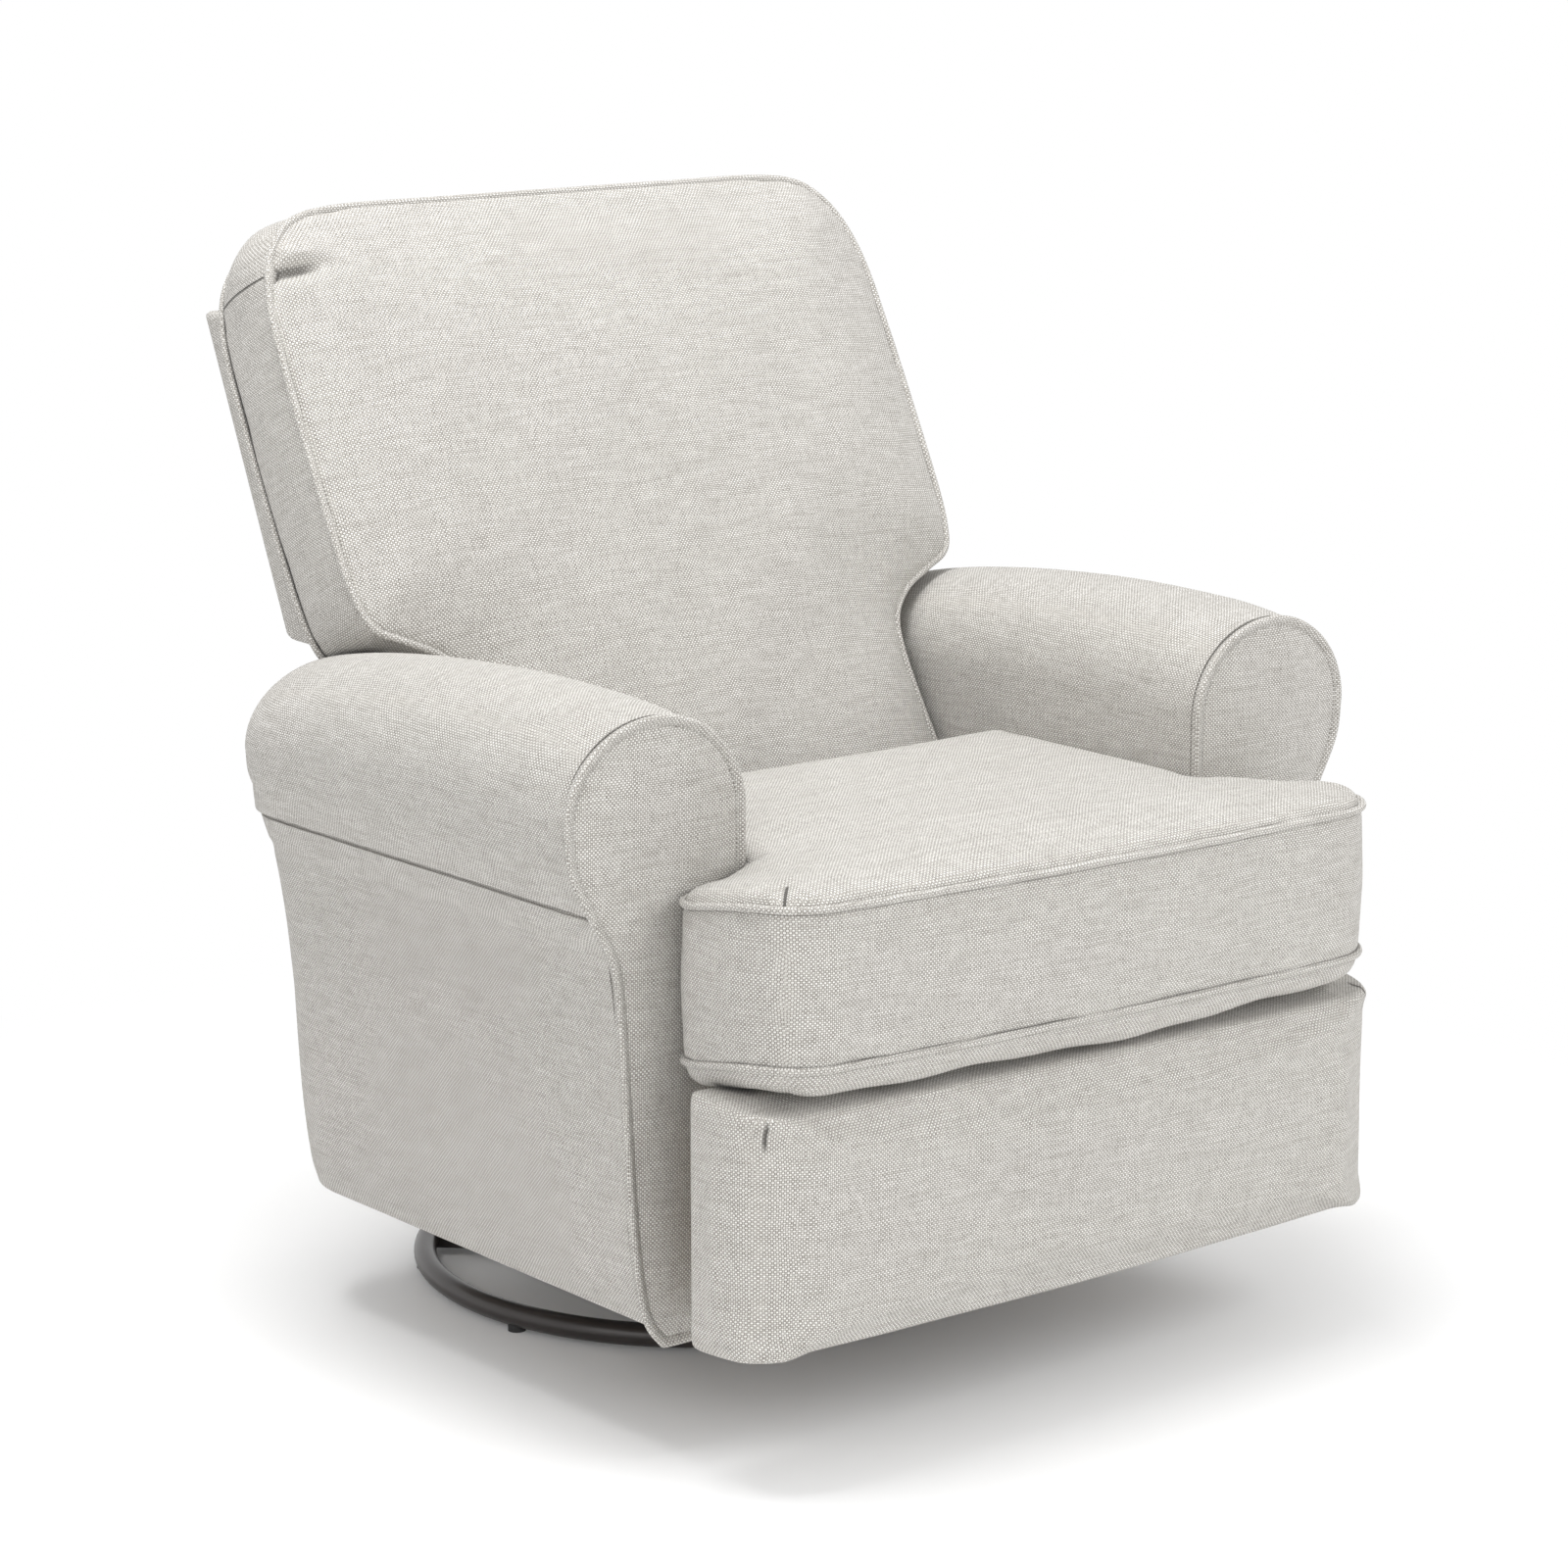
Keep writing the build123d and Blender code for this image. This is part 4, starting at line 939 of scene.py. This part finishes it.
def seat_mesh(settings):
    """The seat cushion: its block crowned, filled by cloth pressure, then given its edge, tucks and waves.

    The crown rises by 1 - (1 - t)^2.6 over 0.10 from the edge. After filling, the top swells by
    (1 - exp(-edge / 0.007)) exp(-edge / 0.120), so that it stands up beside the welt.
    """
    low, high = SEAT_LOW, SEAT_HIGH
    levels = [(0.012, low - 0.0064), (0.002, low - 0.0045), (0.0, low), (-0.003, (low + high) / 2),
              (0.0, high), (0.0015, high + 0.0035)]
    mesh = remeshed(cushion_block("seat_block", seat_outline(0.008), levels), settings.voxel)
    points = coords(mesh)
    fine = seat_outline(0.004)
    edge = edge_distance(points[:, :2], fine)
    top = smoothstep(points[:, 2], high - 0.001, high + 0.003)
    points[:, 2] += top * settings.crown * (1 - (1 - np.clip(edge / 0.10, 0, 1)) ** 2.6)
    put_coords(mesh, points)
    at_seams = [np.exp(-(((points[:, 2] - seam) / 0.004) ** 2)) * (edge < 0.009) for seam in (low, high)]
    held = np.maximum(*at_seams)
    held[points[:, 2] < low - 0.002] = 1
    cap = np.where(points[:, 1] > -0.40, 0.002, 0.009)
    cap = np.where(points[:, 2] < high, cap, settings.swell)
    filled = soften(puffed(mesh, held, cap, 4.0), 2)
    points = coords(filled)
    edge = edge_distance(points[:, :2], fine)
    top = smoothstep(points[:, 2], high + 0.0005, high + 0.004)
    points[:, 2] += top * 0.008 * (1 - np.exp(-edge / 0.007)) * np.exp(-edge / 0.120)
    pleat = np.exp(-(((np.abs(points[:, 0]) + points[:, 1] - sum(EAR_CORNER)) / 0.007) ** 2)) * top
    points[:, 2] -= 0.005 * pleat * smoothstep(-points[:, 1], 0.485, 0.500)
    waves = ripple(points, 11, 0.20) * 0.0012 * smoothstep(points[:, 2], low + 0.012, low + 0.05)
    points[:, 2] += waves * (points[:, 2] > high)
    front = (points[:, 2] < high) & (points[:, 1] < -0.5)
    points[:, 1] += ripple(points * [1, 1, 0.3], 5, 0.07) * 0.0010 * front
    points[:, 2] += seat_lift(points[:, 0], points[:, 1])
    put_coords(filled, points)
    return filled


class RECLINER_OT_seat_cushion(bpy.types.Operator):
    """Make the T seat cushion: filled top and boxing, two welts and the band under the front edge"""

    bl_idname = "recliner.seat_cushion"
    bl_label = "Seat cushion"

    def execute(self, context):
        settings = context.scene.recliner_seat
        weave = cloth(0, "_tucked", seat_pleats)
        cushion = subdivided(piece("seat_cushion_cover", seat_mesh(settings), weave, "seat"))
        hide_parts("seat_cushion")

        band = piece("seat_under_band", under_band(), cloth(), "seat")
        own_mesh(band)
        line = seat_outline(0.004)
        line = line + inward(line) * 0.0002
        for name, height in (("top", SEAT_HIGH), ("lower", SEAT_LOW)):
            track = np.column_stack([line, height + seat_lift(*line.T)])
            piping(f"seat_welt_{name}", track, (0, 0, 1), settings.welt, "seat")
        return {"FINISHED"}


# ---- back ----------------------------------------------------------------------------------

# The back's plane leans by its slope, and BACK_EDGE is half of the cushion's face in that plane: across and up.
BACK_SLOPE = 0.515
BACK_FOOT = np.array([0, 0.037, 0.624])
BACK_UP = np.array([0, BACK_SLOPE, 1]) / np.hypot(1, BACK_SLOPE)
BACK_FORWARD = np.array([0, -1, BACK_SLOPE]) / np.hypot(1, BACK_SLOPE)
BACK_LEAN = float(np.arctan(BACK_SLOPE))
BACK_EDGE = [(0.000, 0.3970), (0.140, 0.3970), (0.235, 0.3965), (0.282, 0.3900), (0.308, 0.3740),
             (0.3275, 0.3450), (0.3385, 0.3000), (0.3415, 0.2300), (0.3420, 0.1500), (0.3410, 0.0700),
             (0.3370, 0.0300), (0.3270, 0.0060), (0.3000, -0.0080), (0.2680, -0.0250), (0.2460, -0.0500),
             (0.2400, -0.0850), (0.2420, -0.1400), (0.2470, -0.2100), (0.2440, -0.2700), (0.2250, -0.2880),
             (0.1600, -0.2900), (0.000, -0.2900)]


def back_world(flat):
    """Points across, up and forward of the back's own plane, in the chair's frame."""
    flat = np.asarray(flat, float)
    across = flat[..., :1] * np.array([1.0, 0, 0])
    return BACK_FOOT + across + flat[..., 1:2] * BACK_UP + flat[..., 2:3] * BACK_FORWARD


def back_outline(spacing):
    """The back cushion's face outline: the edge list and its mirror image."""
    half = np.array(BACK_EDGE)
    return through(np.concatenate([half, half[-2:0:-1] * [-1, 1]]), spacing, closed=True)


def back_mesh(settings):
    """The back cushion: its block crowned, filled by cloth pressure, then given its tuck, waves and boxing.

    The crown rises by 1 - (1 - t)^2.8 over 0.12 from the edge, less near the bottom. After filling, the
    boxing bulges by 4 s (1 - s) of its depth share s at the upper corners.
    """
    deep = -settings.boxing
    levels = [(0.002, deep - 0.001), (0.0, deep + 0.003), (-0.002, deep / 2), (0.0, -0.003), (0.001, 0.0005)]
    mesh = remeshed(cushion_block("back_block", back_outline(0.008), levels), settings.voxel)
    flat = coords(mesh)
    fine = back_outline(0.004)
    edge = edge_distance(flat[:, :2], fine)
    front = smoothstep(flat[:, 2], -0.004, 0.000)
    above_foot = 0.7 + 0.3 * smoothstep(flat[:, 1], -0.29, -0.12)
    flat[:, 2] += front * settings.crown * (1 - (1 - np.clip(edge / 0.12, 0, 1)) ** 2.8) * above_foot
    put_coords(mesh, flat)
    held = np.exp(-((flat[:, 2] / 0.004) ** 2)) * (edge < 0.010)
    held = np.maximum(held, np.exp(-(((flat[:, 2] - deep) / 0.004) ** 2)))
    held[flat[:, 1] < -0.284] = 1
    wing = smoothstep(flat[:, 1], 0.0, 0.05)
    cap = np.where(front > 0.5, settings.swell * above_foot, 0.0015 + 0.0085 * wing)
    filled = soften(puffed(mesh, held, cap, 4.0), 2)
    flat = coords(filled)
    edge = edge_distance(flat[:, :2], fine)
    corner = smoothstep(-flat[:, 0], 0.268, 0.300) * (flat[:, 2] > 0.0005)
    crease = np.exp(-(((flat[:, 1] - 0.336) / 0.0065) ** 2)) * corner
    above = smoothstep(-flat[:, 0], 0.255, 0.31) * (flat[:, 2] > 0.002)
    flat[:, 2] += 0.007 * np.exp(-(((flat[:, 1] - 0.354) / 0.010) ** 2)) * above - 0.011 * crease
    away = smoothstep(edge, 0.0, 0.03) * (flat[:, 2] > 0)
    flat[:, 2] += ripple(flat * [1, 0.8, 0], 3, 0.22) * 0.0016 * away
    share = np.clip(-flat[:, 2] / settings.boxing, 0, 1)
    upper = smoothstep(flat[:, 1], 0.30, 0.36) * smoothstep(np.abs(flat[:, 0]), 0.24, 0.30)
    bulge = 0.0077 * 4 * share * (1 - share) * upper
    flat[:, :2] += bulge[:, None] * np.stack([np.sign(flat[:, 0]), np.ones(len(flat))], 1)
    put_coords(filled, back_world(flat))
    return filled


class RECLINER_OT_back_cushion(bpy.types.Operator):
    """Make the back cushion: filled front, boxing, front and rear welts"""

    bl_idname = "recliner.back_cushion"
    bl_label = "Back cushion"

    def execute(self, context):
        settings = context.scene.recliner_back
        weave = cloth(BACK_LEAN, "_boxed", boxing_joins)
        cushion = subdivided(piece("back_cushion_cover", back_mesh(settings), weave, "back"))
        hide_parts("back_cushion")

        line = back_outline(0.004)
        line = line + inward(line) * 0.0002
        for name, depth in (("front", -0.001), ("rear", 0.001 - settings.boxing)):
            track = back_world(np.column_stack([line, np.full(len(line), depth)]))
            piping(f"back_welt_{name}", track, BACK_FORWARD, settings.welt, "back")
        return {"FINISHED"}


def outer_back_rows():
    """Rows of the outer back from the cushion's rear plane to its own: insets of one outline by depth share.

    The outline is narrow between the arms, and its front part ends above the seat's slide tracks.
    """
    half = [(0.3115, 0.8775), (0.3115, 0.597), (0.2505, 0.585), (0.2505, 0.369), (0.236, 0.359),
            (0.236, 0.337)]
    radii = [0.004, 0.005, 0.020, 0.003, 0.003, 0.005]
    outline = rounded(half + [(-x, z) for x, z in half[::-1]], radii + radii[::-1], 0.003)
    into = inward(outline)
    steps = [(0.0, 0.001), (0.02, -0.001), (0.12, -0.0015), (0.5, -0.002), (0.9, -0.0015), (0.98, 0.0005),
             (1.0, 0.003)]
    rows = []
    for share, inset in steps:
        x, z = (outline + into * inset).T
        z = np.maximum(z, 0.337 + 0.05 * np.clip(0.9 - share, 0, 0.4))
        cushion_rear = 0.036 + (z - BACK_FOOT[2]) * BACK_SLOPE + 0.090 * np.hypot(1, BACK_SLOPE)
        rear = 0.196 + (z - 0.575) * 0.444
        rows.append(np.column_stack([x, cushion_rear * (1 - share) + rear * share, z]))
    return rows


def rear_panel_rows():
    """Rows of the padded panel between the arms' rear ends: a flat front and a soft rear edge."""
    half = [(0.2645, 0.3500), (0.2645, 0.1145)]
    outline = rounded(half + [(-x, z) for x, z in half[::-1]], [0.007] * 4, 0.004)
    into = inward(outline)
    steps = [(0.1475, 0.002), (0.150, 0.0), (0.1615, 0.0), (0.165, 0.001), (0.1672, 0.0035), (0.168, 0.006)]
    rows = []
    for y, inset in steps:
        flat = outline + into * inset
        rows.append(np.column_stack([flat[:, 0], np.full(len(flat), y), flat[:, 1]]))
    return rows


class RECLINER_OT_outer_back(bpy.types.Operator):
    """Make the outer back panel that closes the rear of the back, and the panel below it"""

    bl_idname = "recliner.outer_back"
    bl_label = "Outer back"

    def execute(self, context):
        for name, rows, weave, body, stands_for in (
            ("outer_back_cover", outer_back_rows(), cloth(BACK_LEAN), "back", "outer_back"),
            ("rear_panel_cover", rear_panel_rows(), cloth(), "chair", "rear_panel"),
        ):
            cover = piece(name, loft(name, rows), weave, body, 60)
            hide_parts(stands_for)
        return {"FINISHED"}


# ---- footrest ----------------------------------------------------------------------------------


def footrest_rows(edge, low, high):
    """Levels of the pad: bowed front, round front corners, and quarter-round top and bottom edges."""
    half = [(0.360, -0.525), (0.360, -0.4372)]
    outline = rounded(half + [(-x, y) for x, y in half[::-1]], [0.044, 0.003, 0.003, 0.044], 0.006)
    outline[:, 1] -= 0.011 * (1 - (outline[:, 0] / 0.35) ** 2) * smoothstep(-outline[:, 1], 0.47, 0.52)
    into = inward(outline) * smoothstep(-outline[:, 1], 0.4375, 0.452)[:, None]
    turn = np.linspace(0, np.pi / 2, 9)
    inset = edge * (1 - np.sin(turn))
    lift = edge * (1 - np.cos(turn))
    straight = np.linspace(low + edge, high - edge, 12)[1:-1]
    insets = np.concatenate([inset, np.zeros(len(straight)), inset[::-1]])
    heights = np.concatenate([low + lift, straight, high - lift[::-1]])
    return [np.column_stack([outline + into * d, np.full(len(outline), z)]) for d, z in zip(insets, heights)]


def footrest_mesh(settings):
    """The footrest pad: its block filled by cloth pressure, then waved, with a top that falls to one side."""
    low, high = 0.1105, 0.3185
    mesh = remeshed(loft("footrest_block", footrest_rows(settings.edge, low, high)), settings.voxel)
    points = coords(mesh)
    held = 1 - smoothstep(-points[:, 1], 0.443, 0.470)
    facing = smoothstep(-points[:, 1], 0.46, 0.52)
    filled = soften(puffed(mesh, held, 0.001 + settings.swell * facing, 3.0), 1)
    points = coords(filled)
    points[:, 1] += ripple(points, 21, 0.18) * 0.0010 * (points[:, 1] < -0.50)
    rise = 0.001 - 0.014 * points[:, 0] + 0.004 * smoothstep(points[:, 1], -0.50, -0.45)
    points[:, 2] += rise * smoothstep(points[:, 2], 0.20, high)
    put_coords(filled, points)
    return filled


class RECLINER_OT_footrest(bpy.types.Operator):
    """Make the footrest pad: a wrapped cushion with round front corners, soft edges and two darts"""

    bl_idname = "recliner.footrest"
    bl_label = "Footrest pad"

    def execute(self, context):
        mesh = footrest_mesh(context.scene.recliner_footrest)
        weave = cloth(0, "_darts", footrest_darts)
        pad = subdivided(piece("footrest_cover", mesh, weave, "footrest"))
        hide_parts("footrest_pad")
        return {"FINISHED"}


# ---- stage ---------------------------------------------------------------------------------------


def area_light(name, place, target, size, power):
    """A square light of a given size and power that faces a target."""
    data = bpy.data.lights.new(name, "AREA")
    data.shape = "SQUARE"
    data.size = size
    data.energy = power
    lamp = bpy.data.objects.new(name, data)
    lamp.location = place
    lamp.rotation_euler = (Vector(target) - Vector(place)).to_track_quat("-Z", "Y").to_euler()
    bpy.context.scene.collection.objects.link(lamp)
    return lamp


def seen_rays(tree):
    """1 for what the camera sees, straight on or mirrored or through glass, and 0 for light on the chair."""
    rays = tree.nodes.new("ShaderNodeLightPath").outputs
    mirrored = maths(tree, "MAXIMUM", rays["Is Glossy Ray"], rays["Is Transmission Ray"])
    return maths(tree, "MAXIMUM", rays["Is Camera Ray"], mirrored)


def studio_floor():
    """A pale floor that takes shadows near the chair and fades to white further out."""
    half = 30.0
    mesh = bpy.data.meshes.new("floor")
    corners = [(-half, -half, 0), (half, -half, 0), (half, half, 0), (-half, half, 0)]
    mesh.from_pydata(corners, [], [(0, 1, 2, 3)])
    floor = bpy.data.objects.new("floor", mesh)
    bpy.context.scene.collection.objects.link(floor)
    material, tree, _, spot = new_material(
        "studio_floor", Base_Color=(0.93, 0.93, 0.93, 1), Roughness=0.9, Specular_IOR_Level=0.0)
    seen = seen_rays(tree)
    glow = maths(tree, "MULTIPLY", seen, 0.05)
    lift = node(tree, "ShaderNodeEmission", None, Color=(1, 1, 1, 1), Strength=glow)
    matt = tree.nodes["Principled BSDF"].outputs[0]
    near = node(tree, "ShaderNodeAddShader", None, i0=matt, i1=lift.outputs[0]).outputs[0]
    reach = node(tree, "ShaderNodeVectorMath", {"operation": "LENGTH"}, i0=spot).outputs["Value"]
    fade = node(tree, "ShaderNodeMapRange", {"interpolation_type": "SMOOTHSTEP"}, Value=reach,
                From_Min=0.55, From_Max=1.15).outputs[0]
    white = node(tree, "ShaderNodeEmission", None, Color=(1, 1, 1, 1), Strength=1.0).outputs[0]
    share = maths(tree, "MULTIPLY", fade, seen)
    total = node(tree, "ShaderNodeMixShader", None, i0=share, i1=near, i2=white).outputs[0]
    tree.links.new(total, tree.nodes["Material Output"].inputs["Surface"])
    mesh.materials.append(material)


def studio_sky(strength):
    """Even light all round, of a given strength on the chair and white behind it."""
    world = bpy.data.worlds.new("studio")
    world.use_nodes = True
    tree = world.node_tree
    tree.nodes.clear()
    strength = node(tree, "ShaderNodeMix", None, i0=seen_rays(tree), i2=strength, i3=1.0).outputs[0]
    back = node(tree, "ShaderNodeBackground", None, Color=(1, 1, 1, 1), Strength=strength)
    tree.links.new(back.outputs[0], node(tree, "ShaderNodeOutputWorld").inputs["Surface"])
    bpy.context.scene.world = world


def studio_camera(settings):
    """The camera at its distance, azimuth and height angle from the target, facing it."""
    camera = bpy.data.objects.new("camera", bpy.data.cameras.new("camera"))
    bpy.context.scene.collection.objects.link(camera)
    camera.data.lens = settings.lens
    camera.data.sensor_width = 36
    camera.data.clip_end = 100
    a, e = settings.azimuth, settings.elevation
    back = Vector((np.sin(a) * np.cos(e), -np.cos(a) * np.cos(e), np.sin(e)))
    camera.location = Vector(settings.target) + back * settings.distance
    camera.rotation_euler = (-back).to_track_quat("-Z", "Y").to_euler()
    bpy.context.scene.camera = camera


class RECLINER_OT_stage(bpy.types.Operator):
    """Set up the pale floor, white backdrop, soft studio light and camera"""

    bl_idname = "recliner.stage"
    bl_label = "Stage"

    def execute(self, context):
        settings = context.scene.recliner_stage
        studio_floor()
        studio_sky(settings.sky)
        area_light("key_light", (0.9, -3.3, 2.2), (0, -0.1, 0.4), 2.0, settings.key)
        area_light("top_light", (-0.5, 0.1, 3.3), (0, -0.1, 0.4), 1.6, settings.top)
        area_light("fill_light", (-3.0, -1.6, 1.6), (0, -0.1, 0.5), 2.4, settings.fill)
        studio_camera(settings)
        context.scene.view_settings.view_transform = "Standard"
        return {"FINISHED"}


# ---- panel and registration -------------------------------------------------------------------------

OPERATORS = (
    RECLINER_OT_finishes,
    RECLINER_OT_arms,
    RECLINER_OT_seat_cushion,
    RECLINER_OT_back_cushion,
    RECLINER_OT_outer_back,
    RECLINER_OT_footrest,
    RECLINER_OT_stage,
)


class RECLINER_PT_panel(bpy.types.Panel):
    """Lists the recliner's pieces"""

    bl_label = "Recliner"
    bl_idname = "RECLINER_PT_panel"
    bl_space_type = "VIEW_3D"
    bl_region_type = "UI"
    bl_category = "Recliner"

    def draw(self, context):
        for operator in OPERATORS:
            self.layout.operator(operator.bl_idname)


def register():
    """Adds the settings, the pieces' operators and the panel to Blender."""
    for kind in (*SETTINGS.values(), *OPERATORS, RECLINER_PT_panel):
        bpy.utils.register_class(kind)
    for name, kind in SETTINGS.items():
        setattr(bpy.types.Scene, name, bpy.props.PointerProperty(type=kind))


def unregister():
    """Takes them away again."""
    for name in SETTINGS:
        delattr(bpy.types.Scene, name)
    for kind in reversed((*SETTINGS.values(), *OPERATORS, RECLINER_PT_panel)):
        bpy.utils.unregister_class(kind)


def main():
    """Makes every piece and the stage."""
    register()
    bpy.ops.recliner.finishes()
    bpy.ops.recliner.arms()
    bpy.ops.recliner.seat_cushion()
    bpy.ops.recliner.back_cushion()
    bpy.ops.recliner.outer_back()
    bpy.ops.recliner.footrest()
    bpy.ops.recliner.stage()


if __name__ == "__main__":
    main()
